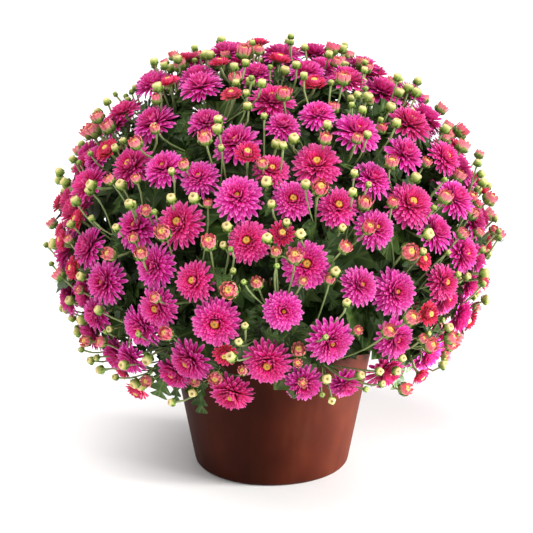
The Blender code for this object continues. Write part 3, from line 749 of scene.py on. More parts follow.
# %% Leaves that fill the dome
FILL_TRIES, FILL_LEAVES, SKIRT_FILL, SKIRT_DROP = 300, 12, 10, 0.022
FILL_SPREAD, FILL_DEPTHS, FILL_LENGTHS, FILL_TILTS = 0.021, (0.006, 0.036), (0.028, 0.046), (0.30, 1.15)
HEAD_ROOM, UNDER_HEAD, HIGH_OVER, SIDE_STRAY, FILL_CHECKS = 0.96, -0.30, 1.6, 0.6, (0.55, 0.8, 1.0)


def off_heads(points):
    """Whether each point keeps out of the space of every head: the disc of its petals, from a
    little below its middle up."""
    clear = np.ones(points.shape[:-1], bool)
    for head in heads + small_heads:
        offset = points - head.place
        height = offset @ head.axis
        aside = np.linalg.norm(offset - height[..., None] * head.axis, axis=-1)
        outside = (height < UNDER_HEAD * head.radius) | (height > HIGH_OVER * head.radius)
        clear &= (aside > HEAD_ROOM * head.radius) | outside
    return clear


def fill_leaves(rng, stem, skirt):
    """Leaves whose tips lie under the dome's surface round this stem's site, and whose outer half
    is clear of the flowers. A skirt leaf hangs lower, outside the pot."""
    normal = off_dome(stem.site)
    aside = rng.normal(size=(FILL_TRIES, 3)) * FILL_SPREAD - (SKIRT_DROP if skirt else 0.0) * UP
    tips = stem.site + aside - dot(aside, normal) * normal
    tips = tips - off_dome(tips) * rng.uniform(*FILL_DEPTHS, FILL_TRIES)[:, None]
    out, tilt = off_dome(tips), rng.uniform(*FILL_TILTS, FILL_TRIES)
    sideways = tips - stem.site + SIDE_STRAY * FILL_SPREAD * rng.normal(size=(FILL_TRIES, 3))
    along = swing(tilt, out, square_to(out, sideways))
    length = rng.uniform(*FILL_LENGTHS, FILL_TRIES)
    back = (1 - np.array(FILL_CHECKS))[:, None] * length[:, None, None]
    points = tips[:, None] - along[:, None] * back
    clear = off_heads(points).all(axis=1) & np.array([over_rim(line) for line in points])
    chosen = np.flatnonzero(clear)[: SKIRT_FILL + FILL_LEAVES if skirt else FILL_LEAVES]
    return [(tips[k] - along[k] * length[k], along[k], square_to(along[k], out[k]), length[k])
            for k in chosen]


# %% Leaves along the trunks and in the rosettes, and leaflets on the stalks
TRUNK_LEAVES, TRUNK_LEAF_SHARES, TRUNK_LEAF_LENGTHS = 9, (0.50, 1.00), (0.045, 0.070)
TRUNK_POINTS, TRUNK_LEAF_RISE, NOTCH_DEPTH = 40, 0.6, 0.016
SLIM_LENGTHS, SLIM_SHARES, SLIM_CHANCE = (0.011, 0.021), (0.35, 0.85), 0.75


def trunk_leaves(rng, stem):
    """Leaves down in the shade, along the upper part of the trunk."""
    line = smooth_line(np.array([*stem.trunk, stem.top]), TRUNK_POINTS)
    places = (rng.uniform(*ends, TRUNK_LEAVES) for ends in (TRUNK_LEAF_SHARES, TRUNK_LEAF_LENGTHS))
    for share, length in zip(*places):
        base = line[int(share * (TRUNK_POINTS - 1))]
        along = unit(TRUNK_LEAF_RISE * stem.way + square_to(stem.way, rng.normal(size=3)))
        if over_rim(np.array([base + along * length])):
            yield base, along, square_to(along, stem.way), length


def rosette_leaves(stem):
    """The inner leaves of the solids: one to each tip of the rosette, and one below each notch."""
    spans = stem.tips - stem.top - stem.way * np.resize((0, NOTCH_DEPTH), len(stem.tips))[:, None]
    for span in spans:
        length = np.linalg.norm(span)
        yield stem.top, span / length, square_to(span / length, stem.way), length


def leaflets(rng):
    """Slim leaflets on the large flowers' stalks, where no flower is in their way."""
    for head in heads:
        if rng.random() < SLIM_CHANCE:
            base = head.route[0] + rng.uniform(*SLIM_SHARES) * (head.route[1] - head.route[0])
            along = unit(head.axis + square_to(head.axis, rng.normal(size=3)))
            length = rng.uniform(*SLIM_LENGTHS)
            if off_heads(base + along * length * np.array((0.5, 1.0))[:, None]).all():
                yield (base, along, square_to(along, head.axis), length), head.stem


# %% Batches of leaves
LEAF_ARCH, ARCH_STRAY, ROLL_STRAY, SWAY_STRAY, WIDTH_STRAY = 0.35, (0.3, 1.5), 0.35, 0.07, (0.85, 1.15)


def leaf_batch(rng, rows, form):
    """Blades from pairs of a leaf (base, along, face and length) and its stem. Each arches: it
    starts above its chord by the arch and ends below it by as much."""
    leaves, owners = zip(*rows)
    base, along, face, length = (np.array(values) for values in zip(*leaves))
    arch = LEAF_ARCH * rng.uniform(*ARCH_STRAY, len(base))
    own = {"tilt": arch, "curl": -2 * arch, "roll": rng.normal(0, ROLL_STRAY, len(base)),
           "sway": rng.normal(0, SWAY_STRAY, len(base))}
    kind = plain_kind(rng, len(base), 0.0)
    half_width = form["width"] * length * rng.uniform(*WIDTH_STRAY, len(base))
    return blades(base, along, face, length, half_width, form | own, kind, np.array(owners), "leaf")


def leaf_batches(rng):
    """The lobed leaves of every stem, the leaves in the shade, and the slim leaflets."""
    yield leaf_batch(rng, [(leaf, stem.number) for stem in stems for leaf in (
        *rosette_leaves(stem), *stem.leaves, *fill_leaves(rng, stem, stem.site[2] < SKIRT_HEIGHT))], LEAF)
    shade = [(leaf, stem.number) for stem in stems for leaf in trunk_leaves(rng, stem)]
    yield leaf_batch(rng, shade, SHADE_LEAF)
    yield leaf_batch(rng, list(leaflets(rng)), LEAFLET)


rng = np.random.default_rng(SMALL_HEAD_SEED)
batches = [*head_batches(rng), *stalk_batches(rng), *leaf_batches(rng)]
for finish in ("petal", "eye", "bud", "bract", "stalk", "leaf"):
    counts = [(len(batch.stem), (batch.faces[1] - 2).sum()) for batch in batches if batch.finish == finish]
    print(finish, sum(count for count, _ in counts), "lofts,", sum(a * b for a, b in counts), "triangles")

# %% [markdown]
# ## One small function for every material
#
# A material is a graph of nodes. Each call below adds one node, sets its settings, and gives each
# input a value or a link. Colours are written as the sRGB hex values that a screen shows, and one
# function turns them to the linear numbers that Blender's light works with. Patterns on a surface
# read Object coordinates, which are metres here, so a pattern's scale is 1000 over its size in
# millimetres. What all these materials share is added at their end: tints over the first colour,
# each by its share, a shift of hue and value, bumps, and the shader.

# %% Colours and nodes
def linear(colour):
    """An sRGB hex colour as linear red, green, blue and alpha: each channel over 12.92 where it is
    dark, or its sum with 0.055, over 1.055, to the power 2.4."""
    channels = np.array([int(colour[k:k + 2], 16) for k in (1, 3, 5)]) / 255
    bright = ((channels + 0.055) / 1.055) ** 2.4
    return (*np.where(channels <= 0.04045, channels / 12.92, bright).tolist(), 1.0)


def node(material, kind, *values, inputs={}, output=0, stops={}, **settings):
    """Adds a node with these settings and gives back one of its outputs. Values go to its inputs in
    order, and others by name or number. Each is a number, a colour as hex, or another node's
    output. Stops are the places and colours of a ramp."""
    made = material.node_tree.nodes.new("ShaderNode" + kind)
    for name, value in settings.items():
        setattr(made, name, value)
    for key, value in [*enumerate(values), *inputs.items()]:
        if isinstance(value, bpy.types.NodeSocket):
            material.node_tree.links.new(value, made.inputs[key])
        else:
            made.inputs[key].default_value = linear(value) if isinstance(value, str) else value
    for index, (place, colour) in enumerate(stops.items()):
        elements = made.color_ramp.elements
        element = elements[index] if index < len(elements) else elements.new(1.0)
        element.position, element.color = place, linear(colour)
    return made.outputs[output] if made.outputs else None


def new_material(name):
    """An empty material of this name."""
    made = bpy.data.materials.new(name)
    made.use_nodes = True
    made.node_tree.nodes.clear()
    return made


def end_material(made, colour, roughness, specular, tints=(), shift=None, bumps=(), **sockets):
    """Tints are shares and colours, a shift is a hue and a value, and a bump is a height with its
    strength, its distance and whether it is turned in. Other sockets are the shader's own."""
    for share, tint in tints:
        colour = node(made, "Mix", inputs={0: share, 6: colour, 7: tint}, output=2, data_type="RGBA")
    if shift:
        colour = node(made, "HueSaturation", shift[0], 1.0, shift[1], 1.0, colour)
    for height, strength, distance, inward in bumps:
        before = {"Normal": sockets["Normal"]} if "Normal" in sockets else {}
        sockets["Normal"] = node(made, "Bump", invert=inward, inputs=before | {
            "Height": height, "Strength": strength, "Distance": distance})
    sockets |= {"Base Color": colour, "Roughness": roughness, "Specular IOR Level": specular}
    node(made, "OutputMaterial", node(made, "BsdfPrincipled", inputs=sockets))
    return made


def blade_places(made):
    """The outputs along, across, under, opening, tone and level of the two attributes."""
    vectors = [node(made, "Attribute", attribute_name=name, output="Vector") for name in ("place", "kind")]
    return [part for vector in vectors for part in node(made, "SeparateXYZ", vector).node.outputs]


# %% [markdown]
# ## The petals' colours
#
# A chrysanthemum's petal holds its colour in thin sap-filled cells, so it has a soft satin gloss and no
# sharp highlight. It fades as it ages: a young petal is coral over a yellow base, and an open one magenta.
# An open petal is dark at its base, which is painted shade where the petals overlap, and pale lilac-pink at
# its tip and along its edges, which is partly its own lilac and partly painted highlight. The back is
# paler. Fine veins run its whole length, about 0.1 mm apart. They are drawn 0.25 mm wide, or none would
# show, and the light and dark of these streaks also stand for painted highlights and painted shade.

# %% Ray floret
PETAL_WIDTH_MM, PETAL_LENGTH_MM, STREAK_WIDTH_MM, STREAK_LENGTH_MM = 4.0, 18.0, 0.25, 12.5
HALF_STREAKS = PETAL_WIDTH_MM / STREAK_WIDTH_MM / 2
STREAKS_ALONG, STREAK_SHUFFLE = PETAL_LENGTH_MM / STREAK_LENGTH_MM, 96.0
print(2 * HALF_STREAKS, "streaks across a petal")


def petal_material():
    """Satin petal tissue: ramps along the petal for a cup, a young and an open bloom, mixed by the opening,
    redder towards the eye, paler on the back, and streaked along its length. The open ramp is dark at the
    base as painted shade and pale at the tip as a painted highlight. The pale edges are partly lilac and
    partly painted highlight, and the streaks are veins with painted highlights and painted shade."""
    made = new_material("chrysanthemum_ray_floret")
    along, across, under, opening, tone, level = blade_places(made)
    # The open bloom's ramp (grown) has a dark base, which is painted shade, and a pale tip, which is a
    # painted highlight.
    cup, young, grown = (node(made, "ValToRGB", along, stops=stops) for stops in (
        {0.0: "#ecdf96", 0.28: "#f0cc98", 0.52: "#ea9688", 0.84: "#de5e74", 1.0: "#f6bc80"},
        {0.0: "#f4bc4a", 0.20: "#ea6038", 0.48: "#e02c48", 0.82: "#dc1c54", 1.0: "#e85a94"},
        # grown: the dark base is painted shade, the pale tip a painted highlight
        {0.0: "#a80a4e", 0.25: "#d00a6a", 0.60: "#dc0e98", 0.84: "#dc34aa", 1.0: "#ea8cc2"}))
    # Pale pink edges: partly the petal's own lilac, partly painted highlight.
    edge = node(made, "Math", across, operation="ABSOLUTE")
    shown = node(made, "MapRange", opening, 0.3, 0.8, 0.3, 1.0)
    back = node(made, "MapRange", under, 0.52, 0.70, 0.0, 0.35)
    # Streaks along the petal: fine veins, whose light and dark also stand for painted highlights and
    # painted shade.
    lanes = node(made, "CombineXYZ", *(
        node(made, "Math", part, scale, operation="MULTIPLY") for part, scale in (
            (across, HALF_STREAKS), (along, STREAKS_ALONG), (tone, STREAK_SHUFFLE))))
    streaks = node(made, "TexNoise", inputs={"Vector": lanes, "Scale": 1.0, "Detail": 3.0})
    # The streaks' value swing paints highlights and shade along the petal as well as its veins.
    value = node(made, "Math", node(made, "MapRange", tone, 0.0, 1.0, 0.86, 1.16),
                 node(made, "MapRange", streaks, 0.3, 0.7, 0.80, 1.18), operation="MULTIPLY")
    return end_material(
        made, cup, 0.55, 0.14, bumps=((streaks, 0.35, 0.0004, False),),
        shift=(node(made, "MapRange", tone, 0.0, 1.0, 0.508, 0.494), value),
        tints=((node(made, "MapRange", opening, 0.34, 0.46), young),
               (node(made, "MapRange", opening, 0.62, 0.90), grown),
               (node(made, "MapRange", level, 0.4, 1.0, 0.0, 0.40), "#dc0c5c"),
               # edge tint: partly lilac, partly painted highlight
               (node(made, "MapRange", edge, 0.45, 1.0, 0.0, 0.34), "#f09ac6"),
               (node(made, "Math", back, shown, operation="MULTIPLY"), "#e884b0")))


# %% [markdown]
# ## Eyes, buds and greens
#
# The eye of a flower is a tight pack of unopened florets: pale yellow, ringed with orange while it
# is young, and a green-yellow pit when the petals have grown past it. Buds go from green to cream
# as they ripen. Bracts, stalks and leaves carry a thin coat of hairs, which dulls their gloss.

# %% Disc florets and bud skin
FLORET_MM, BUD_GRAIN_MM = 0.7, 1.1


def eye_material():
    """Packed disc florets: a ramp from the eye's edge to its middle, and the florets' bump."""
    made = new_material("chrysanthemum_disc_florets")
    spot = node(made, "TexCoord", output="Object")
    along, _, _, _, _, level = blade_places(made)
    young, grown = (node(made, "ValToRGB", along, stops=stops) for stops in (
        {0.0: "#cc5430", 0.28: "#ee8c3c", 0.46: "#f2c660", 0.74: "#ecd27a", 1.0: "#5e6a22"},
        {0.0: "#b03a2a", 0.28: "#de722c", 0.48: "#e8ac3a", 0.75: "#c0aa3c", 1.0: "#56641e"}))
    cells = node(made, "TexVoronoi", inputs={"Vector": spot, "Scale": 1000 / FLORET_MM})
    return end_material(
        made, young, 0.6, 0.3, bumps=((cells, 0.8, 0.0005, True),),
        tints=((node(made, "MapRange", level, 0.6, 1.0), grown),
               (node(made, "MapRange", cells, 0.2, 0.7, 0.0, 0.35), "#a8702e")))


def bud_material():
    """Waxy tips of closed petals over green: a ramp from foot to dimple, greener in small buds."""
    made = new_material("chrysanthemum_bud_skin")
    spot = node(made, "TexCoord", output="Object")
    along, _, _, _, tone, level = blade_places(made)
    green, ripe = (node(made, "ValToRGB", along, stops=stops) for stops in (
        {0.0: "#466822", 0.50: "#76983c", 0.82: "#a6ba5c", 1.0: "#2c3c14"},
        {0.0: "#4e6c24", 0.36: "#7c9a3c", 0.52: "#b4bc66", 0.68: "#e4d294", 0.84: "#d8be78",
         1.0: "#2c3610"}))
    grain = node(made, "TexNoise", inputs={"Vector": spot, "Scale": 1000 / BUD_GRAIN_MM})
    return end_material(
        made, green, 0.5, 0.35, tints=((level, ripe),), bumps=((grain, 0.4, 0.0004, False),),
        shift=(0.5, node(made, "MapRange", tone, 0.0, 1.0, 0.88, 1.12)))


# %% Bracts, stalks and leaves
STALK_PATCH_MM, LEAF_PATCH_MM, VEIN_PAIRS, VEIN_SLANT = 6.2, 18.0, 5.0, 0.176


def bract_material():
    """Downy green scales that clasp a bud, with thin pale edges and tips."""
    made = new_material("chrysanthemum_bract")
    along, across, _, _, tone, _ = blade_places(made)
    colour = node(made, "ValToRGB", along, stops={
        0.0: "#4c6c26", 0.55: "#618432", 0.90: "#88a24c", 1.0: "#b2bc6e"})
    edge = node(made, "Math", across, operation="ABSOLUTE")
    return end_material(
        made, colour, 0.62, 0.3, tints=((node(made, "MapRange", edge, 0.7, 1.0, 0.0, 0.35), "#a8b470"),),
        shift=(0.5, node(made, "MapRange", tone, 0.0, 1.0, 0.82, 1.14)))


def stalk_material():
    """Ridged herbaceous stem: pale grey-green and downy above, brown and woody at the soil."""
    made = new_material("chrysanthemum_stalk")
    spot = node(made, "TexCoord", output="Object")
    along, _, _, _, _, level = blade_places(made)
    top, trunk = (node(made, "ValToRGB", along, stops=stops) for stops in (
        {0.0: "#5c7038", 0.5: "#7d8f56", 1.0: "#98a672"},
        {0.0: "#4e3b27", 0.35: "#5c4a2e", 0.62: "#5a6236", 1.0: "#5c7038"}))
    patches = node(made, "TexNoise", inputs={"Vector": spot, "Scale": 1000 / STALK_PATCH_MM, "Detail": 3.0})
    return end_material(
        made, top, 0.6, 0.3, tints=((level, trunk),), bumps=((patches, 0.3, 0.0005, False),),
        shift=(0.5, node(made, "MapRange", patches, 0.3, 0.7, 0.85, 1.15)))


def leaf_material():
    """Thick matt leaf: dark above and grey-green below, with a pale midrib and side veins that are
    lines of along less a slant times across, and the quilting between them as bump."""
    made = new_material("chrysanthemum_leaf")
    spot = node(made, "TexCoord", output="Object")
    along, across, under, _, tone, _ = blade_places(made)
    aside = node(made, "Math", across, operation="ABSOLUTE")
    slant = node(made, "Math", aside, -VEIN_SLANT, along, operation="MULTIPLY_ADD")
    beat = node(made, "Math", slant, VEIN_PAIRS, operation="MULTIPLY")
    beat = node(made, "Math", beat, 1.0, operation="PINGPONG")
    veins = node(made, "Math", node(made, "MapRange", beat, 0.0, 0.22, 1.0, 0.0),
                 node(made, "MapRange", aside, 0.02, 0.16, 1.0, 0.0), operation="MAXIMUM")
    patches = node(made, "TexNoise", inputs={"Vector": spot, "Scale": 1000 / LEAF_PATCH_MM, "Detail": 4.0})
    colour = node(made, "ValToRGB", patches, stops={0.30: "#223410", 0.50: "#2e4816", 0.70: "#3e5c1f"})
    return end_material(
        made, colour, 0.50, 0.3, bumps=((veins, 0.6, 0.0006, True),),
        tints=((node(made, "MapRange", veins, 0.0, 1.0, 0.0, 0.45), "#6c8644"),
               (node(made, "MapRange", under, 0.52, 0.66, 0.0, 0.85), "#62744a")),
        shift=(node(made, "MapRange", tone, 0.0, 1.0, 0.505, 0.492),
               node(made, "MapRange", tone, 0.0, 1.0, 0.72, 1.22)))


FINISHES = {
    "petal": petal_material(), "eye": eye_material(), "bud": bud_material(),
    "bract": bract_material(), "stalk": stalk_material(), "leaf": leaf_material(),
}
print(len(FINISHES), "plant materials")

# %% [markdown]
# ## Plant pieces, one pair for each stem
#
# Each solid is one flowering stem, so its fine surface is grouped the same way: one piece with the
# stem's flowers, and one with its stalks and leaves. A piece gathers its share of every batch.

# %% From batches to meshes
SHARP_ANGLE, pieces = math.radians(100), []


def put(name, data):
    """Adds an object with this data to the scene."""
    made = bpy.data.objects.new(name, data)
    bpy.context.scene.collection.objects.link(made)
    return made


def stand_in(piece, name, slot):
    """The piece rides on the body in place of the node of this name, and joins the list of pieces."""
    pieces.append(piece)
    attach(piece, "root")
    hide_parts(name)


def share_of(batch, number, first):
    """One stem's lofts of a batch: points, places, kinds, corners counted from first, face sizes."""
    chosen = batch.stem == number
    flat = [values[chosen].reshape(-1, 3) for values in batch.values]
    offsets = first + batch.values[0].shape[1] * np.arange(chosen.sum())
    corners, sizes = batch.faces
    return *flat, (corners + offsets[:, None]).ravel(), np.tile(sizes, chosen.sum())


def plant_piece(name, number, finishes):
    """One mesh with this stem's part of every batch in these finishes, and its two attributes."""
    rows, first, slots = [], 0, []
    for batch in batches:
        if batch.finish in finishes:
            rows.append(share_of(batch, number, first))
            first += len(rows[-1][0])
            slots.append(np.full(len(rows[-1][4]), finishes.index(batch.finish)))
    points, place, kind, corners, sizes = (np.concatenate(values) for values in zip(*rows))
    mesh = bpy.data.meshes.new(name)
    for items, count, label, values in (
        (mesh.vertices, len(points), "co", points.ravel()),
        (mesh.loops, len(corners), "vertex_index", corners.astype(np.int32)),
        (mesh.polygons, len(sizes), "loop_start", (np.cumsum(sizes) - sizes).astype(np.int32)),
    ):
        items.add(count)
        items.foreach_set(label, values)
    for finish in finishes:
        mesh.materials.append(FINISHES[finish])
    mesh.polygons.foreach_set("material_index", np.concatenate(slots).astype(np.int32))
    mesh.update(calc_edges=True)
    for label, values in (("place", place), ("kind", kind)):
        mesh.attributes.new(label, "FLOAT_VECTOR", "POINT").data.foreach_set("vector", values.ravel())
    mesh.shade_smooth()
    mesh.set_sharp_from_angle(angle=SHARP_ANGLE)
    return put(name, mesh)


for number in range(STEM_COUNT):
    for label, slot, finishes in (
        ("flowers", "petals", ("petal", "eye", "bud")),
        ("greens", "leaf_and_stem", ("stalk", "leaf", "bract")),
    ):
        piece = plant_piece(f"{label}_of_stem_{number + 1:02d}", number, finishes)
        stand_in(piece, f"flowering_stem_{number + 1:02d}", slot)
print(2 * STEM_COUNT, "plant pieces")

# %% [markdown]
# ## The pot
#
# A nursery pot is injection-moulded polypropylene: a thin tapered wall, a slightly proud rim, a
# rounded foot and holes in its floor. Its section is one closed profile, turned about the axis. The
# corners of the profile are rounded with short curves, as a moulded edge always catches light.

# %% Turn a profile
POT_TURNS, SOIL_TURNS, CORNER_STEPS = 144, 96, 5


def pot_radius(height):
    """The outer wall's radius, which grows evenly from base to top."""
    return POT_BASE_RADIUS + (POT_TOP_RADIUS - POT_BASE_RADIUS) * height / POT_HEIGHT


def rounded(points, radii):
    """A polyline whose inner corners are rounded: each corner becomes the curve from one leg to the
    other with the corner as its control point."""
    points, t = np.array(points), np.linspace(0, 1, CORNER_STEPS)[:, None]
    made = [points[:1]]
    for before, corner, after, radius in zip(points, points[1:], points[2:], radii):
        start, end = (corner + radius * unit(leg - corner) for leg in (before, after))
        made.append((1 - t) ** 2 * start + 2 * t * (1 - t) * corner + t**2 * end)
    return np.concatenate([*made, points[-1:]])


def turned_surface(name, profile, count):
    """The profile's radii and heights carried round the axis. Its first and last points lie on the
    axis, and become the poles."""
    radius, height = profile[1:-1, 0, None], profile[1:-1, 1, None]
    angles = turns(count)
    rings = np.stack([radius * np.cos(angles), radius * np.sin(angles), height + 0 * angles], axis=-1)
    points = np.concatenate([rings.reshape(-1, 3), profile[[0, -1], 1][:, None] * UP])
    here, after, quads = grid_of(len(radius), count)
    low, high = np.full((2, count), [[rings[..., 0].size], [rings[..., 0].size + 1]])
    fans = [np.stack(ends, axis=1) for ends in ((low, here[0], after[0]), (high, after[-1], here[-1]))]
    mesh = bpy.data.meshes.new(name)
    faces = quads.tolist() + fans[0].tolist() + fans[1].tolist()
    mesh.from_pydata(points.tolist(), [], faces, shade_flat=False)
    return put(name, mesh)


# %% The pot's profile, and its drain holes cut
RIM_EDGES = (0.002, 0.002, 0.0011, 0.0016, 0.0014, POT_CORNER)
DRAIN_DRILL, DRAIN_TURNS, POT_SHARP = 0.020, 24, math.radians(50)


def pot_profile():
    """From the middle of the floor's inside, up the inner wall, over the rim, and down to the middle
    of its underside."""
    rim_foot = POT_HEIGHT - RIM_HEIGHT
    return rounded([
        (0, POT_FLOOR),
        (pot_radius(POT_FLOOR) - POT_WALL, POT_FLOOR),
        (POT_TOP_RADIUS - POT_WALL, POT_HEIGHT),
        (POT_TOP_RADIUS + RIM_PROUD, POT_HEIGHT),
        (pot_radius(rim_foot) + RIM_PROUD, rim_foot),
        (pot_radius(rim_foot - RIM_TAPER), rim_foot - RIM_TAPER),
        (POT_BASE_RADIUS, 0),
        (0, 0),
    ], RIM_EDGES)


def drain_cutter():
    """Six upright drills as one mesh: two rings round each drain hole's middle, and their caps."""
    middle, circle = (size * np.stack([np.cos(turns(count)), np.sin(turns(count))], axis=-1)
                      for size, count in ((DRAIN_CIRCLE, DRAIN_COUNT), (DRAIN_RADIUS, DRAIN_TURNS)))
    points = np.zeros((DRAIN_COUNT, 2, DRAIN_TURNS, 3))
    points[..., :2] = (middle[:, None] + circle)[:, None]
    points[..., 2] = np.array((-DRAIN_DRILL / 2, DRAIN_DRILL / 2))[:, None]
    here, _, quads = grid_of(2, DRAIN_TURNS)
    one = [*quads[:, ::-1].tolist(), here[0, ::-1].tolist(), here[1].tolist()]
    faces = [[corner + here.size * k for corner in face] for k in range(DRAIN_COUNT) for face in one]
    mesh = bpy.data.meshes.new("drain_cutter")
    mesh.from_pydata(points.reshape(-1, 3).tolist(), [], faces)
    return put("drain_cutter", mesh)


pot, cutter = turned_surface("nursery_pot", pot_profile()[::-1], POT_TURNS), drain_cutter()
drill = pot.modifiers.new("holes", "BOOLEAN")
drill.operation, drill.object = "DIFFERENCE", cutter
pot_mesh = bpy.data.meshes.new_from_object(pot.evaluated_get(bpy.context.evaluated_depsgraph_get()))
pot.modifiers.clear()
pot.data = pot_mesh
bpy.data.objects.remove(cutter)
pot_mesh.shade_smooth()
pot_mesh.set_sharp_from_angle(angle=POT_SHARP)
stand_in(pot, "pot", "pot")
print(len(pot_mesh.polygons), "faces in the pot")

# %% Injection-moulded polypropylene
PIGMENT_CLOUD_MM, DRAG_MM, DUST_MM, DRAW_STRETCH = 45.0, 4.2, 17.0, 0.12


def plastic_material():
    """Brown pigmented polypropylene with a satin mould finish: a faint cloud in the pigment, a film
    of dust that dulls and pales parts of the wall, and fine drag lines down the mould's draw."""
    made = new_material("injection_moulded_polypropylene")
    spot = node(made, "TexCoord", output="Object")
    drawn = node(made, "Mapping", inputs={"Vector": spot, "Scale": (1.0, 1.0, DRAW_STRETCH)})
    cloud, drag, dust = (
        node(made, "TexNoise", inputs={"Vector": vector, "Scale": 1000 / size, "Detail": detail})
        for vector, size, detail in (
            (spot, PIGMENT_CLOUD_MM, 4.0), (drawn, DRAG_MM, 3.0), (drawn, DUST_MM, 5.0)))
    colour = node(made, "ValToRGB", cloud, stops={0.30: "#2f0e05", 0.55: "#381207", 0.75: "#401709"})
    return end_material(
        made, colour, node(made, "MapRange", dust, 0.3, 0.8, 0.50, 0.66), 0.06, IOR=1.49,
        tints=((node(made, "MapRange", dust, 0.50, 0.80, 0.0, 0.06), "#834c32"),),
        bumps=((drag, 0.10, 0.0005, False),))


pot_mesh.materials.clear()
pot_mesh.materials.append(plastic_material())
print("pot:", pot_mesh.materials[0].name)

# %% [markdown]
# ## The soil
#
# Potting mix is peat and shredded bark. Little of it shows between the stems, but it has to be
# there from above. It is a turned surface whose top is roughened by a sum of many waves, each with
# its own direction and a length between that of a crumb and that of a clod.

# %% The potting mix
CRUMB_WAVES, CRUMB_LENGTHS, CRUMB_HEIGHT, SOIL_RINGS, CRUMB_SEED = 70, (0.003, 0.022), 0.0011, 50, 3
SOIL_BEVEL, CRUMB_FOOT = 0.001, 0.0005


def crumbs(points, rng):
    """The sum of cosines of random waves. A wave's height grows with the root of its length."""
    lengths = np.exp(rng.uniform(*np.log(CRUMB_LENGTHS), CRUMB_WAVES))
    ways, starts = rng.uniform(0, 2 * math.pi, (2, CRUMB_WAVES))
    across = points[:, 0, None] * np.cos(ways) + points[:, 1, None] * np.sin(ways)
    waves = np.cos(2 * math.pi * across / lengths + starts) * np.sqrt(lengths / CRUMB_LENGTHS[1])
    return CRUMB_HEIGHT * waves.sum(axis=1) / math.sqrt(CRUMB_WAVES / 4)


def soil_profile():
    """From the middle of the underside, up beside the pot's wall, and in to the crown."""
    foot, inset = POT_FLOOR + FIT_GAP, POT_WALL + FIT_GAP
    edge = pot_radius(SOIL_EDGE) - inset
    top = np.linspace(edge - SOIL_BEVEL, 0, SOIL_RINGS)
    sides = [(0, foot), (pot_radius(foot) - inset, foot), (edge, SOIL_EDGE - SOIL_BEVEL)]
    return np.array([*sides, *np.stack([top, soil_height(top)], axis=1)])


soil = turned_surface("potting_mix_surface", soil_profile(), SOIL_TURNS)
points = np.empty(3 * len(soil.data.vertices), np.float32)
soil.data.vertices.foreach_get("co", points)
points = points.reshape(-1, 3)
top = points[:, 2] > SOIL_EDGE - CRUMB_FOOT
points[top, 2] += crumbs(points[top], np.random.default_rng(CRUMB_SEED))
soil.data.vertices.foreach_set("co", points.ravel())
stand_in(soil, "soil", "soil")
print(f"crumbs between {1000 * points[top, 2].min():.1f} and {1000 * points[top, 2].max():.1f} mm")

# %% Peat and bark
CLOD_MM, BARK_MM = 5.5, 2.4


def peat_material():
    """Damp peat with shredded bark: near-black crumbs and brown fibres."""
    made = new_material("peat_potting_mix")
    spot = node(made, "TexCoord", output="Object")
    clods = node(made, "TexNoise", inputs={
        "Vector": spot, "Scale": 1000 / CLOD_MM, "Detail": 6.0, "Roughness": 0.7})
    bark = node(made, "TexVoronoi", inputs={"Vector": spot, "Scale": 1000 / BARK_MM})
    colour = node(made, "ValToRGB", clods, stops={
        0.35: "#1b130d", 0.55: "#33251a", 0.68: "#4d3827", 0.80: "#735740"})
    return end_material(
        made, colour, 0.95, 0.2, bumps=((clods, 0.9, 0.0015, False), (bark, 0.6, 0.0008, False)))


soil.data.materials.append(peat_material())
print("soil:", soil.data.materials[0].name)

# %% [markdown]
# ## The studio
#
# The plant stands on a plain pale floor that runs out past the frame. A large soft light comes from the
# right, a weaker and wider one from above and the left, and a faint one from behind. A small softbox with a
# grid stands low on the right and is aimed at the pot, which the dome shades from the others, so the pot's
# left goes dark. A sky that is palest at the horizon fills the shadows.
# The camera stands where the photograph was taken from: a little above the dome's top, looking
# slightly down.

# %% The floor
FLOOR_HALF, FLOOR_CLOUD_MM = 40.0, 700.0


def floor_material():
    """Matt painted floor, pale and even but for a very faint cloud."""
    made = new_material("matt_floor_paint")
    spot = node(made, "TexCoord", output="Object")
    cloud = node(made, "TexNoise", inputs={"Vector": spot, "Scale": 1000 / FLOOR_CLOUD_MM})
    share = node(made, "MapRange", cloud, 0.3, 0.7, 0.0, 0.06)
    return end_material(made, "#f4f3f1", 0.9, 0.1, tints=((share, "#e4e3e0"),))


mesh = bpy.data.meshes.new("studio_floor")
corners = FLOOR_HALF * np.array(((-1, -1, 0), (1, -1, 0), (1, 1, 0), (-1, 1, 0)))
mesh.from_pydata(corners.tolist(), [], [(0, 1, 2, 3)])
mesh.materials.append(floor_material())
floor = put("studio_floor", mesh)
print("floor", 2 * FLOOR_HALF, "m wide")

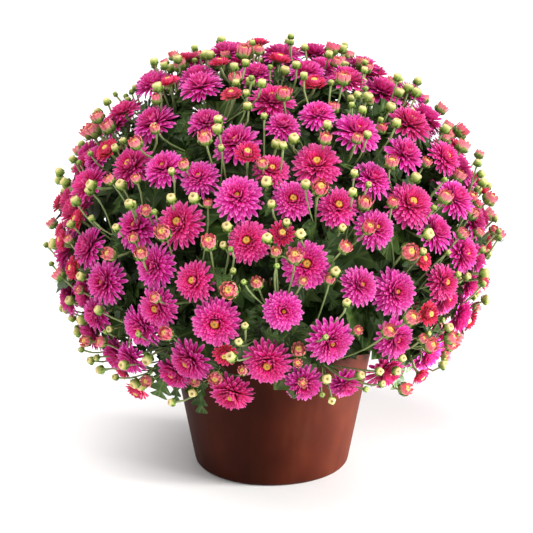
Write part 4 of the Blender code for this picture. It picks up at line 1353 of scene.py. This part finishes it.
# %% Sky, lights and camera: each light's place, aim, strength, and its angle or its size and spread
SKY_STOPS = {0.02: "#f8f8f9", 0.20: "#cfd0d3", 0.42: "#8c8e92", 1.0: "#828487"}
SUNS = {
    "soft_key": ((1.4, -0.55, 0.62), 3.5, math.radians(30)),
    "soft_fill": ((-0.44, -0.66, 1.60), 2.5, math.radians(50)),
    "soft_back": ((-0.30, 1.0, 1.10), 1.3, math.radians(60)),
}
BOX_PLACE, BOX_AIM, BOX_SIZE = (0.70, -0.14, 0.05), (0.0, 0.0, 0.06), 0.16
BOX_POWER, BOX_SPREAD = 1.58, math.radians(36)
CAMERA_PLACE, CAMERA_AIM = (-0.006, -1.41, 0.567), (-0.006, 0.0, 0.226)
CAMERA_LENS, CAMERA_SENSOR, CAMERA_FAR = 88.0, 36.0, 100.0


def facing(place, aim):
    """The turn that points an object's -Z axis from its place to its aim, with +Y as up."""
    return (Vector(aim) - Vector(place)).to_track_quat("-Z", "Y").to_euler()


world = bpy.data.worlds.new("pale_sky")
world.use_nodes = True
height = node(world, "SeparateXYZ", node(world, "TexCoord", output="Generated"), output="Z")
sky = node(world, "ValToRGB", height, stops=SKY_STOPS)
world.node_tree.links.new(sky, world.node_tree.nodes["Background"].inputs["Color"])
bpy.context.scene.world = world

light = bpy.data.lights.new("low_softbox", "AREA")
light.energy, light.size, light.spread = BOX_POWER, BOX_SIZE, BOX_SPREAD
box = put("low_softbox", light)
box.location, box.rotation_euler = BOX_PLACE, facing(BOX_PLACE, BOX_AIM)
box.visible_camera = False
for name, (place, strength, angle) in SUNS.items():
    light = bpy.data.lights.new(name, "SUN")
    light.energy, light.angle = strength, angle
    put(name, light).rotation_euler = facing(place, (0, 0, 0))

lens = bpy.data.cameras.new("camera")
lens.lens, lens.sensor_width, lens.clip_end = CAMERA_LENS, CAMERA_SENSOR, CAMERA_FAR
camera = put("camera", lens)
camera.location, camera.rotation_euler = CAMERA_PLACE, facing(CAMERA_PLACE, CAMERA_AIM)
bpy.context.scene.camera = camera
bpy.context.scene.view_settings.view_transform = "Standard"
print(len(SUNS) + 1, "lights")

# %% Count the pieces' triangles and finish
counts = [len(piece.data.loops) - 2 * len(piece.data.polygons) for piece in pieces]
print(len(counts), "pieces of", sum(counts), "triangles, at most", max(counts))
